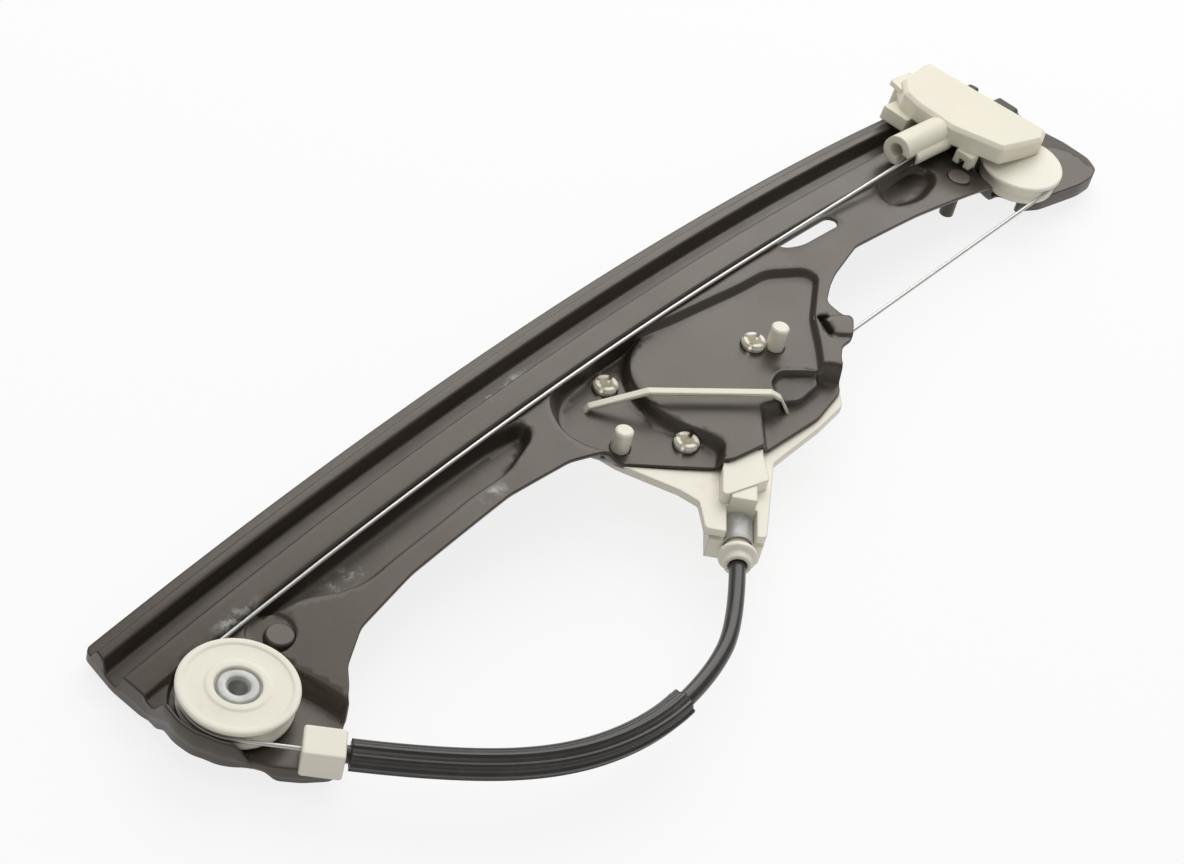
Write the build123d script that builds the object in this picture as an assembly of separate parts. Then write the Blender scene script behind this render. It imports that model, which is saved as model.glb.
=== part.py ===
from build123d import *
import math
import os

os.makedirs("parts", exist_ok=True)

# Built with the drum axis at x = y = 0 and the crown of the plate web at z = 0, +X to the upper pulley.
# On export all is lifted, so that the origin is the mouth of the drum's drive bore.

# ---------------------------------------------------------------- driving dimensions (mm)
RAIL_R = 1350.0          # crown radius of the curved rail, about an axis parallel to Y


def crown(x):
    return math.sqrt(RAIL_R ** 2 - x ** 2) - RAIL_R


SHEET = 1.4              # stamped sheet
BEND_R = 0.6             # section corner radius
PLATE_X0 = -250.0
PLATE_X1 = 279.0
RIB_Z = 2.0              # flat rib beside the cable
CHANNEL_Z = -5.5         # guide channel floor
RIDGE_Z = 0.6            # outer ridge
FLANGE_Z = -5.0          # outer slider flange
COVER_Z = -3.0           # cover over the drum and the triangular panel
FLAT_Z = -8.0            # low flat that carries the housing
GUTTER_Z = -5.0          # stiffening gutter in the lower arm
LIP_RISE = 3.7           # rim around the lower pulley, above its seat
SKIRT_DROP = 6.7        # end skirt below the seat
DEEP = -75.0             # base of the bodies that the sheet is cut from

ROPE_R = 0.75
ROPE_RISE = 1.3          # rope centre above the crown on the rail
ROPE_Y = 26.9
GAP = 0.4                # gap between pieces that move apart
RUN_FIT = 0.05           # radial running clearance

PULLEY_H = 9.0
LOWER_C = (-226.5, 7.9)
LOWER_GROOVE_R = ROPE_Y - LOWER_C[1]
LOWER_R = LOWER_GROOVE_R + 1.3
LOWER_RISE = 2.5365      # middle of the lower pulley above the crown beside it
LOWER_MID_Z = crown(LOWER_C[0]) + LOWER_RISE
LOWER_SEAT_Z = LOWER_MID_Z - PULLEY_H / 2 - 1.2
LIP_Z = LOWER_SEAT_Z + LIP_RISE
UPPER_C = (224.0, -0.2)
UPPER_GROOVE_R = 15.7
UPPER_R = UPPER_GROOVE_R + 1.8
UPPER_RISE = 1.6134      # middle of the upper pulley above the crown beside it
UPPER_MID_Z = crown(UPPER_C[0]) + UPPER_RISE
UPPER_SEAT_Z = UPPER_MID_Z - PULLEY_H / 2 - 0.7
AXLE_R = 5.0
HEAD_R = 7.2
HEAD_H = 1.3

DRUM_R = 18.1            # rope centre radius on the drum
DRUM_FLANGE_R = 20.3
DRUM_TOP = -5.6
DRUM_BOTTOM = -21.2
DRUM_HUB_L = 3.4         # hub below the lower flange
DRUM_MOUTH = DRUM_BOTTOM - DRUM_HUB_L
DRUM_HUB_R = 10.95
DRUM_BORE_R = 5.5
DRUM_BORE_L = 16.0
DRUM_LEAD = 9.0          # the straight rope starts this far from its tangent point
COIL_PITCH = 2.1
COILS = 4

OUT_ANGLE = -142.0       # direction of the rope that leaves the drum for the conduit
CABLE_Z = LOWER_MID_Z    # level of the conduit
COIL_Z = [CABLE_Z + COIL_PITCH * i for i in range(COILS - 1, -1, -1)]
BOSS_S0 = 34.0           # upright box between the cover and the cup
BOSS_HALF = 4.6
BOSS_TOP = -5.2
CUP_S0 = 58.0
CUP_S1 = 71.0
CUP_R = 5.5
CUP_WALL = 0.6
CAP_FLANGE_R = 7.0
CONDUIT_R = 3.0
CONDUIT_BORE_R = 1.15
SLEEVE_R = 4.6
SLEEVE_BORE_R = 3.35
SLEEVE_RIB_R = 5.3

BLOCK_C = (-222.4, -26.5)
BLOCK_ANGLE = -50.0
BLOCK_L = 14.0
BLOCK_W = 12.5
BLOCK_H = 11.0

CARRIER_X = 221.0        # carrier centre along the rail at the top stop
CARRIER_BOTTOM = 7.2
CARRIER_TOP = 15.2
SOCKET_W = 6.0           # rope height above the crown inside the carrier socket
SOCKET_R = 3.8
SOCKET_BORE_R = 2.6
BARREL = (31.0, 8.7)     # y and height of the barrel around the socket
BARREL_X0 = -53.0
BARREL_R = 6.0
BARREL_BORE_R = 3.0
ROPE_ROOF = 7.95         # top of the slot that passes over the rope
LUG_W = 4.4
UPPER_ROPE_Y = UPPER_C[1] + UPPER_GROOVE_R

PEG_R = 4.3
PEG_SITES = ((-27.6, 20.1, FLAT_Z), (-26.9, -17.6, FLAT_Z), (30.5, -2.8, COVER_Z))
PIN_R = 3.4
PIN_SITES = ((-46.6, -3.0, FLAT_Z, 8.0), (36.8, -8.4, COVER_Z, 9.5))
STUD_SITES = ((-199.5, 15.5), (194.1, 11.5))
STUD_R = 3.0
STUD_HEAD_R = 5.0
STUD_L = 16.0
STUD_HEAD_RISE = 1.0

RAIL_AXIS = Axis((0, 0, -RAIL_R), (0, 1, 0))
OUT_DIR = (math.cos(math.radians(OUT_ANGLE)), math.sin(math.radians(OUT_ANGLE)))
OUT_T = (-DRUM_R * OUT_DIR[1], DRUM_R * OUT_DIR[0])


# ---------------------------------------------------------------- helpers
def turn(x):
    return math.degrees(math.asin(x / RAIL_R))


def loop(points, radius):
    return make_face(FilletPolyline(*points, radius=radius, close=True))


def prism(face, z0, z1):
    return extrude(Pos(0, 0, z0) * face, amount=z1 - z0, dir=(0, 0, 1))


def section(points, radius=0.0):
    line = Polyline(*[(0, y, z) for y, z in points], close=True)
    face = make_face(line)
    return fillet(face.vertices(), radius) if radius else face


def along_rail(face, x0, x1):
    solid = revolve(face, RAIL_AXIS, revolution_arc=turn(x1) - turn(x0))
    return solid.rotate(RAIL_AXIS, turn(x0))


def tilted(shape, x):
    return shape.rotate(RAIL_AXIS, turn(x))


def thicken(points, t):
    low = []
    for i, (y, z) in enumerate(points):
        a = points[max(i - 1, 0)]
        b = points[min(i + 1, len(points) - 1)]
        n1 = unit_below(a, (y, z)) if i else None
        n2 = unit_below((y, z), b) if i < len(points) - 1 else None
        n1 = n1 or n2
        n2 = n2 or n1
        m = (n1[0] + n2[0], n1[1] + n2[1])
        k = 2.0 * t / (m[0] ** 2 + m[1] ** 2)
        low.append((y + m[0] * k, z + m[1] * k))
    return list(points) + low[::-1]


def unit_below(a, b):
    dy, dz = b[0] - a[0], b[1] - a[1]
    n = math.hypot(dy, dz)
    return (dz / n, -dy / n)


def rod(p, q, r):
    length = math.dist(p, q)
    d = tuple((b - a) / length for a, b in zip(p, q))
    return Plane(origin=p, z_dir=d) * Cylinder(r, length, align=(Align.CENTER, Align.CENTER, Align.MIN))


def disc(x, y, z0, z1, r):
    return Pos(x, y, z0) * Cylinder(r, z1 - z0, align=(Align.CENTER, Align.CENTER, Align.MIN))


def on_out(s, n=0.0):
    return (OUT_T[0] + s * OUT_DIR[0] - n * OUT_DIR[1], OUT_T[1] + s * OUT_DIR[1] + n * OUT_DIR[0])


def out_rod(s0, s1, r):
    return rod((*on_out(s0), CABLE_Z), (*on_out(s1), CABLE_Z), r)


def out_box(s0, s1, half, z0, z1):
    corners = [on_out(s0, -half), on_out(s1, -half), on_out(s1, half), on_out(s0, half)]
    return prism(make_face(Polyline(*corners, close=True)), z0, z1)


def spun(points):
    return revolve(make_face(Plane.XZ * Polyline(*points, close=True)), Axis.Z)


# ---------------------------------------------------------------- plate regions (plan view)
def plate_outline():
    outer = [(-245.0, 58.8), (268.0, 58.8), (271.0, 46.0), (271.0, 29.0), (268.5, 17.0), (271.5, 4.0)]
    hook = [(271.0, -9.0), (266.5, -15.5), (255.5, -19.7), (246.4, -19.4), (224.4, -14.2), (213.0, -7.5)]
    hook += [(210.5, -0.8)]
    upper_bay = [(190.0, 2.0), (153.0, 5.6), (112.0, 7.6), (88.0, 2.0), (73.5, -6.0)]
    drum_side = [(74.0, -17.0), (65.0, -23.5), (54.0, -27.0), (41.0, -36.8), (20.0, -40.0), (-6.0, -38.8)]
    lower_side = [(-24.0, -35.5), (-38.0, -22.5), (-54.0, -7.0), (-72.0, 0.5)]
    lower_bay = [(-100.0, 4.0), (-150.0, 3.2), (-178.0, -0.5), (-192.0, -8.0)]
    toe = [(-198.0, -14.5), (-207.5, -22.0), (-213.0, -29.0), (-220.5, -31.0), (-227.3, -24.2), (-233.2, -14.6)]
    heel = [(-235.3, -8.5), (-238.3, -5.0), (-237.2, 0.8), (-242.0, 3.0), (-245.2, 6.0), (-246.4, 13.1)]
    end = [(-244.6, 22.0), (-246.4, 26.5), (-248.3, 42.7)]
    return loop(outer + hook + upper_bay + drum_side + lower_side + lower_bay + toe + heel + end, 1.2)


def cover_region():
    panel = [(2, 25.5), (14, 23), (66, 19), (79, 16.5), (80.5, 7), (60, -7), (48, -19), (39, -27), (14, -27.5)]
    arm = [(7, -24), (-12, -41), (-20, -50), (-40, -44), (-29, -35.5), (-18.5, -29), (-17.5, -22.5), (-20, -12)]
    return loop(panel + arm, 1.5) + Pos(0.5, 1.0) * Circle(25.2)


def low_left_region():
    area = [(-64, 20), (-50, 25.5), (-22, 27.2), (-4, 27.0), (0, 0), (-14, -30), (-40, -52), (-84, -22), (-66, -6)]
    return loop(area, 1.5) - cover_region()


def low_right_region():
    area = [(4, -18), (14, -27), (39, -26.5), (50, -40), (40, -52), (-24, -52), (-14, -38)]
    return loop(area, 1.5) - cover_region()


def gutter_region():
    upper = [(-199, 25.0), (-166, 24.2), (-132, 23.8), (-86, 22.4), (-73, 19.5)]
    lower = [(-76, 15.5), (-90, 12.8), (-125, 13.4), (-162, 15.6), (-188, 20.5)]
    return loop(upper + lower, 1.2)


def lower_seat_region():
    toe = [(-240.5, 8), (-235.5, 0.5), (-236.3, -5.5), (-233.3, -9.5), (-231.6, -15.6), (-236, -25.5)]
    toe += [(-226, -40), (-205, -32), (-206, -12)]
    return Pos(*LOWER_C) * Circle(LOWER_R + 0.9) + loop(toe + [(-210, 8)], 1.5)


def upper_seat_region():
    area = [(200, -7.5), (200, -30), (258, -30), (262, -4), (250, 12), (224, 12), (214, -7.5)]
    return Pos(*UPPER_C) * Circle(UPPER_R + 0.9) + loop(area, 1.5)


# ---------------------------------------------------------------- plate
# The sheet is the space between an upper body and a lower body, each with the stamped pockets cut in.
def rail_top_line():
    top = [(-60, 0), (27.9, 0), (28.7, RIB_Z), (38.8, RIB_Z), (40.4, CHANNEL_Z), (47.4, CHANNEL_Z)]
    return top + [(49.0, RIDGE_Z), (53.0, RIDGE_Z), (55.2, FLANGE_Z), (62.0, FLANGE_Z)]


def rail_body(drop):
    line = rail_top_line() if drop == 0 else thicken(rail_top_line(), drop)[len(rail_top_line()):][::-1]
    line = [(-60 - drop, line[0][1])] + line[1:-1] + [(62 + drop, line[-1][1])]
    base = [(62 + drop, DEEP - drop), (-60 - drop, DEEP - drop)]
    return along_rail(section(line + base), PLATE_X0 - drop, PLATE_X1 + drop)


def above(level):
    return along_rail(section([(-70, level), (40, level), (40, 40), (-70, 40)]), PLATE_X0 - 8, PLATE_X1 + 8)


def pocket(region, level, drop, flat=False):
    face = offset(region, amount=drop) if drop else region
    if flat:
        return prism(face, level - drop, 30)
    return prism(face, -60, 30) & above(level - drop)


def sheet_side(drop):
    body = rail_body(drop) + prism(lip_zone(drop), DEEP + 10 - drop, LIP_Z - drop)
    body -= pocket(cover_region(), COVER_Z, drop)
    body -= pocket(low_left_region(), FLAT_Z, drop)
    body -= pocket(low_right_region(), FLAT_Z, drop)
    body -= pocket(gutter_region(), GUTTER_Z, drop)
    body -= pocket(lower_seat_region(), LOWER_SEAT_Z, drop, True)
    body -= pocket(upper_seat_region(), UPPER_SEAT_Z, drop, True)
    return body


def lip_zone(drop):
    return Pos(-242, -12) * Rectangle(40 + 2 * drop, 76 + 2 * drop)


def skirt_zone():
    ring = plate_outline() - offset(plate_outline(), amount=-SHEET)
    return ring & (Pos(-246, 12) * Rectangle(36, 86) + Pos(252, -16) * Rectangle(76, 36))


def rail_plate():
    under = sheet_side(SHEET) - prism(skirt_zone(), -120, 10)
    plate = sheet_side(0) & prism(plate_outline(), LOWER_SEAT_Z - SKIRT_DROP, 20)
    return plate - under - plate_holes()


def plate_holes():
    holes = [disc(x, y, -40, 10, PEG_R + 0.2) for x, y, z in PEG_SITES]
    holes += [disc(x, y, -40, 10, PIN_R + 0.3) for x, y, z, h in PIN_SITES]
    holes += [disc(x, y, -60, 10, STUD_HEAD_R) for x, y in STUD_SITES]
    holes += [disc(*LOWER_C, -60, 10, AXLE_R), disc(*UPPER_C, -60, 10, AXLE_R)]
    slot = loop([(82, 28.0 - 2.2), (85, 22.4), (92, 19.8), (116, 19.2), (119, 22.5), (116, 25.8)], 1.5)
    window = loop([(15.5, -27.0), (19, -21.0), (26, -19.0), (37.0, -27.5), (35, -30.5), (22, -31.5)], 1.5)
    holes += [prism(slot, -30, 10), prism(window, -30, 10)]
    holes += [strap_slot(-0.2), strap_slot(STRAP_RUN - 1.9)]
    return holes


def strap_slot(run):
    x = STRAP_A[0] + run * math.cos(math.radians(STRAP_ANGLE))
    y = STRAP_A[1] + run * math.sin(math.radians(STRAP_ANGLE))
    return Pos(x, y, -10) * Rot(0, 0, STRAP_ANGLE) * Box(SLOT_L, STRAP_W + 2 * GAP, 12)


# ---------------------------------------------------------------- drum cover strap
STRAP_A = (-42.3, 17.7)
STRAP_B = (19.4, -32.5)
STRAP_ANGLE = math.degrees(math.atan2(STRAP_B[1] - STRAP_A[1], STRAP_B[0] - STRAP_A[0]))
STRAP_RUN = math.dist(STRAP_A, STRAP_B)
STRAP_W = 2.8
STRAP_T = 1.3
SLOT_L = 5.2


def strap_plane():
    return Plane(origin=(*STRAP_A, 0), x_dir=(math.cos(math.radians(STRAP_ANGLE)),
                 math.sin(math.radians(STRAP_ANGLE)), 0), z_dir=(-math.sin(math.radians(STRAP_ANGLE)),
                 math.cos(math.radians(STRAP_ANGLE)), 0))


def drum_retaining_strap():
    run = STRAP_RUN
    # the plane's local Y points down, so depths are positive
    top = [(-0.4, 9.2), (1.2, 6.4), (22.0, -1.6), (68.5, -1.6), (72.6, 0.9), (run - 1.6, 9.2)]
    low = [(x, z + STRAP_T) for x, z in top]
    foot_a = [(0.9, 9.2), (0.9, 12.4), (-1.6, 12.4), (-1.6, 10.4)]
    foot_b = [(run - 0.4, 10.4), (run - 0.4, 12.4), (run - 3.0, 12.4), (run - 3.0, 9.2)]
    outline = top + foot_b + low[::-1][1:-1] + foot_a
    face = strap_plane() * make_face(Polyline(*outline, close=True))
    return extrude(face, amount=STRAP_W / 2, both=True)


# ---------------------------------------------------------------- housing
def housing_outline():
    left = [(-36, 26), (-55, 8), (-53, -7), (-45, -30), (-44, -38), (-52.5, -47.5), (-39.2, -65.0)]
    right = [(-28, -57.5), (-7, -43.4), (22, -43.0), (38, -41.5), (48, -32), (50, -12), (44, 2), (24, 22), (-8, 26)]
    return loop(left + right, 2.0)


def drum_housing():
    deck_top = FLAT_Z - SHEET - GAP
    deck = prism(housing_outline(), deck_top - 3.0, deck_top)
    lift = prism(cover_region() & housing_outline(), deck_top - 3.0, COVER_Z - SHEET - GAP)
    body = deck + lift
    body += disc(0, 0, DRUM_MOUTH, deck_top, 22.2)
    body += out_box(BOSS_S0, CUP_S0, BOSS_HALF, CABLE_Z, BOSS_TOP)
    body += out_box(24, CUP_S1, 10.8, CABLE_Z - 6.8, CABLE_Z + 2.0) & prism(housing_outline(), -30, 0)
    body -= prism(offset(plate_outline(), amount=GAP), -40, 10) - sheet_side(SHEET + GAP)
    body -= disc(0, 0, DRUM_BOTTOM - GAP, 0, DRUM_FLANGE_R + 0.8)
    body -= disc(0, 0, -40, 0, DRUM_HUB_R + RUN_FIT)
    body -= out_rod(-4, CUP_S0 + 1, 1.7)
    body -= out_rod(CUP_S0, CUP_S1 + 4, CUP_R)
    body -= out_box(CUP_S0, CUP_S1 + 4, CUP_R, CABLE_Z, -2)
    body -= rod((4, -DRUM_R, COIL_Z[0]), upper_rope_end(), 2.0)
    body -= strap_feet()
    body -= window_view()
    for x, y, z in PEG_SITES:
        body += peg(x, y, z)
    for x, y, z, h in PIN_SITES:
        body += pin(x, y, z, h)
    return body


def window_view():
    return prism(loop([(17.5, -26.5), (20, -22.5), (26, -21), (34, -27.5), (33, -29.5), (22, -29.8)], 1.0), -30, 0)


def strap_feet():
    a = Pos(STRAP_A[0] - 0.3, STRAP_A[1] + 0.2, -11.5) * Rot(0, 0, STRAP_ANGLE) * Box(6.4, 3.6, 8)
    b = Pos(STRAP_B[0] - 1.2, STRAP_B[1] + 0.9, -11.5) * Rot(0, 0, STRAP_ANGLE) * Box(6.4, 3.6, 8)
    return a + b


def peg(x, y, z):
    base = z - SHEET - GAP - 1.0
    body = disc(x, y, base, z + 2.4, PEG_R - 0.15) + disc(x, y, z + 0.4, z + 1.6, PEG_R + 0.35)
    body -= disc(x, y, base + 1.0, z + 4, 2.5)
    for a in (15, 105):
        body -= Pos(x, y, z + 2.2) * Rot(0, 0, a) * Box(14, 1.5, 3.6)
    return body


def pin(x, y, z, h):
    base = z - SHEET - GAP - 1.0
    body = disc(x, y, base, z + h, PIN_R)
    return chamfer(body.edges().group_by(Axis.Z)[-1], 0.6)


def upper_rope_end():
    return (UPPER_C[0] - 3.0, UPPER_C[1] - UPPER_GROOVE_R, UPPER_MID_Z)


# ---------------------------------------------------------------- drum and rope windings
def cable_drum():
    end = DRUM_MOUTH + DRUM_BORE_L
    pts = [(DRUM_BORE_R, end), (DRUM_BORE_R, DRUM_MOUTH), (DRUM_HUB_R, DRUM_MOUTH)]
    pts += [(DRUM_HUB_R, DRUM_BOTTOM), (DRUM_FLANGE_R, DRUM_BOTTOM), (DRUM_FLANGE_R, -18.4), (DRUM_R + 0.1, -17.6)]
    for z in COIL_Z[::-1]:
        pts += [(DRUM_R + 0.1, z - ROPE_R), (DRUM_R - ROPE_R, z - ROPE_R)]
        pts += [(DRUM_R - ROPE_R, z + ROPE_R), (DRUM_R + 0.1, z + ROPE_R)]
    pts += [(DRUM_R + 0.1, -8.0), (DRUM_FLANGE_R, -7.4), (DRUM_FLANGE_R, DRUM_TOP), (3.0, DRUM_TOP)]
    pts += [(3.0, end)]
    drum = spun(pts)
    for i in range(6):
        drum -= Rot(0, 0, 60 * i) * Pos(14.2, 0, DRUM_BOTTOM + 3) * Cylinder(2.0, 14)
    return drum


def drum_windings():
    coils = [Pos(0, 0, z) * Torus(DRUM_R, ROPE_R) for z in COIL_Z]
    return Compound(children=coils)


# ---------------------------------------------------------------- pulleys and rivets
def groove(r_rim, r_floor, mid, half):
    return [(r_rim, mid - half), (r_floor, mid - ROPE_R - 0.15), (r_floor, mid + ROPE_R + 0.15), (r_rim, mid + half)]


def lower_pulley():
    z0, z1 = LOWER_MID_Z - PULLEY_H / 2, LOWER_MID_Z + PULLEY_H / 2
    floor = LOWER_GROOVE_R - ROPE_R
    pts = [(AXLE_R + RUN_FIT, z0), (LOWER_R, z0)] + groove(LOWER_R, floor, LOWER_MID_Z, 2.6)
    pts += [(LOWER_R, z1 - 0.5), (LOWER_R - 0.5, z1), (HEAD_R + 0.5, z1)]
    pts += [(HEAD_R + 0.5, z1 - HEAD_H - GAP), (AXLE_R + RUN_FIT, z1 - HEAD_H - GAP)]
    body = spun(pts)
    for a, r in ((197, 11.5), (247, 10.5)):
        p = (r * math.cos(math.radians(a)), r * math.sin(math.radians(a)))
        body -= disc(*p, z1 - 0.7, z1 + 1, 1.3)
    return Pos(*LOWER_C, 0) * body


def lower_pulley_rivet():
    z1 = LOWER_MID_Z + PULLEY_H / 2
    head = disc(0, 0, z1 - HEAD_H, z1 - 0.2, HEAD_R)
    head = fillet(head.edges().group_by(Axis.Z)[-1], 0.5)
    body = head + disc(0, 0, LOWER_SEAT_Z - SHEET - 1.6, z1 - HEAD_H, AXLE_R)
    body += disc(0, 0, LOWER_SEAT_Z - SHEET - 1.6, LOWER_SEAT_Z - SHEET, 7.0)
    body -= disc(0, 0, z1 - 2.2, z1, 3.2)
    return Pos(*LOWER_C, 0) * body


def pulley_washers():
    rings = []
    for c, seat, mid in ((LOWER_C, LOWER_SEAT_Z, LOWER_MID_Z), (UPPER_C, UPPER_SEAT_Z, UPPER_MID_Z)):
        ring = disc(*c, seat, mid - PULLEY_H / 2 - 0.3, 9.0)
        rings.append(ring - disc(*c, seat - 1, mid, AXLE_R))
    return Compound(children=rings)


def upper_pulley():
    z0, z1 = UPPER_MID_Z - PULLEY_H / 2, UPPER_MID_Z + PULLEY_H / 2
    floor = UPPER_GROOVE_R - ROPE_R
    pts = [(AXLE_R + RUN_FIT, z0), (UPPER_R, z0)] + groove(UPPER_R, floor, UPPER_MID_Z, 3.2)
    pts += [(UPPER_R, z1 - 0.5), (UPPER_R - 0.5, z1), (0, z1), (0, z1 - 2.0), (AXLE_R + RUN_FIT, z1 - 2.0)]
    body = spun(pts)
    for a in (-60, 10):
        p = (4.4 * math.cos(math.radians(a)), 4.4 * math.sin(math.radians(a)))
        body -= disc(*p, z1 - 0.6, z1 + 1, 1.0)
    return Pos(*UPPER_C, 0) * body


def upper_pulley_axle():
    z1 = UPPER_MID_Z + PULLEY_H / 2 - 2.0 - GAP
    body = disc(0, 0, UPPER_SEAT_Z - SHEET - 1.6, z1, AXLE_R)
    body += disc(0, 0, UPPER_SEAT_Z - SHEET - 1.6, UPPER_SEAT_Z - SHEET, 7.0)
    return Pos(*UPPER_C, 0) * body


def mounting_studs():
    studs = []
    for x, y in STUD_SITES:
        z = crown(x)
        head = disc(x, y, z - 2.6, z + STUD_HEAD_RISE, STUD_HEAD_R)
        head = fillet(head.edges().group_by(Axis.Z)[-1], 0.8)
        studs.append(head + disc(x, y, z - 2.6 - STUD_L, z - 2.6, STUD_R))
    return Compound(children=studs)


# ---------------------------------------------------------------- ropes
def rope(points, radii):
    path = FilletPolyline(*points, radius=radii)
    return sweep(Plane(origin=path @ 0, z_dir=path % 0) * Circle(ROPE_R), path=path)


def wrap_corners(c, r, z, start, total, count):
    step = total / count
    reach = r / math.cos(math.radians(step / 2))
    turns = [math.radians(start + step * (i + 0.5)) for i in range(count)]
    return [(c[0] + reach * math.cos(a), c[1] + reach * math.sin(a), z) for a in turns]


def rail_tangent(p, side):
    x, z = p[0], p[2] + RAIL_R
    return math.atan2(x, z) + side * math.acos((RAIL_R + ROPE_RISE) / math.hypot(x, z))


def rail_cable():
    socket = in_carrier(-22.0, ROPE_Y, SOCKET_W)
    mouth = in_carrier(-45.0, ROPE_Y, SOCKET_W)
    foot = (LOWER_C[0] + 4.5, ROPE_Y, LOWER_MID_Z)
    a, b = rail_tangent(foot, 1), rail_tangent(mouth, -1)
    apex = (RAIL_R + ROPE_RISE) / math.cos((b - a) / 2)
    crest = (apex * math.sin((a + b) / 2), ROPE_Y, apex * math.cos((a + b) / 2) - RAIL_R)
    corners = wrap_corners(LOWER_C, LOWER_GROOVE_R, LOWER_MID_Z, 90, 180 + BLOCK_ANGLE, 3)
    end = (*block_point(CONDUIT_IN_BLOCK), CABLE_Z)
    arcs = [40.0, RAIL_R + ROPE_RISE, 20.0] + [LOWER_GROOVE_R * 0.98] * 3
    return rope([socket, mouth, crest, foot] + corners + [end], arcs)


def in_carrier(u, y, w):
    a = math.asin(CARRIER_X / RAIL_R)
    x = u * math.cos(a) + (RAIL_R + w) * math.sin(a)
    z = -u * math.sin(a) + (RAIL_R + w) * math.cos(a) - RAIL_R
    return (x, y, z)


def upper_cable():
    lug = in_carrier(-20.0, UPPER_ROPE_Y, LUG_W)
    start = (UPPER_C[0] - 2.5, UPPER_ROPE_Y, UPPER_MID_Z)
    corners = wrap_corners(UPPER_C, UPPER_GROOVE_R, UPPER_MID_Z, 90, -180, 3)
    end = upper_rope_end()
    drum = (0.0, -DRUM_R, COIL_Z[0])
    k = DRUM_LEAD / math.dist(end, drum)
    near = tuple(d + (e - d) * k for d, e in zip(drum, end))
    return rope([lug, start] + corners + [end, near], [12.0] + [UPPER_GROOVE_R * 0.98] * 3 + [60.0])


def drum_side_cable():
    return out_rod(DRUM_LEAD, CUP_S1 + 4.0, ROPE_R)


# ---------------------------------------------------------------- conduit
def block_end(side):
    a = math.radians(BLOCK_ANGLE)
    k = side * BLOCK_L / 2
    return (BLOCK_C[0] + k * math.cos(a), BLOCK_C[1] + k * math.sin(a))


def block_point(k):
    a = math.radians(BLOCK_ANGLE)
    return (BLOCK_C[0] + k * math.cos(a), BLOCK_C[1] + k * math.sin(a))


CONDUIT_IN_BLOCK = 1.0
CONDUIT_POINTS = [block_point(CONDUIT_IN_BLOCK), block_point(34.0), (-168.0, -80.0), (-134.0, -91.2),
                  (-99.0, -89.0), on_out(106.5), on_out(CUP_S1 + 4.0)]
SLEEVE_END = 18.0


def bend_radii(points):
    radii = []
    for a, b, c in zip(points, points[1:], points[2:]):
        t1 = math.atan2(b[1] - a[1], b[0] - a[0])
        t2 = math.atan2(c[1] - b[1], c[0] - b[0])
        half = abs((t2 - t1 + math.pi) % (2 * math.pi) - math.pi) / 2
        radii.append(0.45 * min(math.dist(a, b), math.dist(b, c)) / math.tan(half))
    return radii


CONDUIT_RADII = bend_radii(CONDUIT_POINTS)


def conduit_path(points, radii):
    return FilletPolyline(*[(x, y, CABLE_Z) for x, y in points], radius=radii)


def tube_along(path, face):
    return sweep(Plane(origin=path @ 0, z_dir=path % 0, x_dir=(0, 0, 1)) * face, path=path)


def conduit():
    return tube_along(conduit_path(CONDUIT_POINTS, CONDUIT_RADII), Circle(CONDUIT_R) - Circle(CONDUIT_BORE_R))


def conduit_cable():
    return tube_along(conduit_path(CONDUIT_POINTS, CONDUIT_RADII), Circle(ROPE_R))


def sleeve_points():
    a, b = CONDUIT_POINTS[3], CONDUIT_POINTS[4]
    k = SLEEVE_END / math.dist(a, b)
    end = (a[0] + (b[0] - a[0]) * k, a[1] + (b[1] - a[1]) * k)
    return [block_point(BLOCK_L / 2 + 1.5)] + CONDUIT_POINTS[1:4] + [end]


def conduit_sleeve():
    path = conduit_path(sleeve_points(), CONDUIT_RADII[:3])
    face = Circle(SLEEVE_R)
    for i in range(8):
        face += Rot(0, 0, 45 * i + 22.5) * Pos(SLEEVE_R - 0.4, 0) * Rectangle(2 * (SLEEVE_RIB_R - SLEEVE_R) + 0.8, 1.3)
    return tube_along(path, face - Circle(SLEEVE_BORE_R))


def conduit_end_block():
    z0 = LOWER_SEAT_Z + 0.1
    z1 = CABLE_Z + BLOCK_H / 2 - 0.5
    body = Pos(0, 0, (z0 + z1) / 2) * Box(BLOCK_L, BLOCK_W, z1 - z0)
    body = fillet(body.edges().filter_by(Axis.Z), 1.2)
    body = fillet(body.edges().group_by(Axis.Z)[-1], 0.8)
    body = Pos(*BLOCK_C, 0) * (Rot(0, 0, BLOCK_ANGLE) * body)
    body -= rod((*block_point(CONDUIT_IN_BLOCK), CABLE_Z), (*block_point(20), CABLE_Z), CONDUIT_R)
    return body - rod((*block_point(-20), CABLE_Z), (*block_point(2), CABLE_Z), 1.3)


# ---------------------------------------------------------------- tensioner
def tensioner_cup():
    body = out_rod(CUP_S0, CUP_S1, CUP_R) - out_rod(CUP_S0 + 1.0, CUP_S1 + 1, CUP_R - CUP_WALL)
    return body - out_rod(CUP_S0 - 1, CUP_S0 + 2, 1.7)


def tensioner_cap():
    body = out_rod(CUP_S1 + 3.2, CUP_S1 + 5.4, CAP_FLANGE_R) + out_rod(CUP_S1 - 3.0, CUP_S1 + 3.2, 4.5)
    body += out_rod(CUP_S1 + 5.4, CUP_S1 + 9.0, 5.0)
    body -= out_rod(CUP_S1 - 4, CUP_S1 + 10, 1.7)
    return body - out_rod(CUP_S1 + 3.6, CUP_S1 + 10, CONDUIT_R + 0.35)


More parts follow.
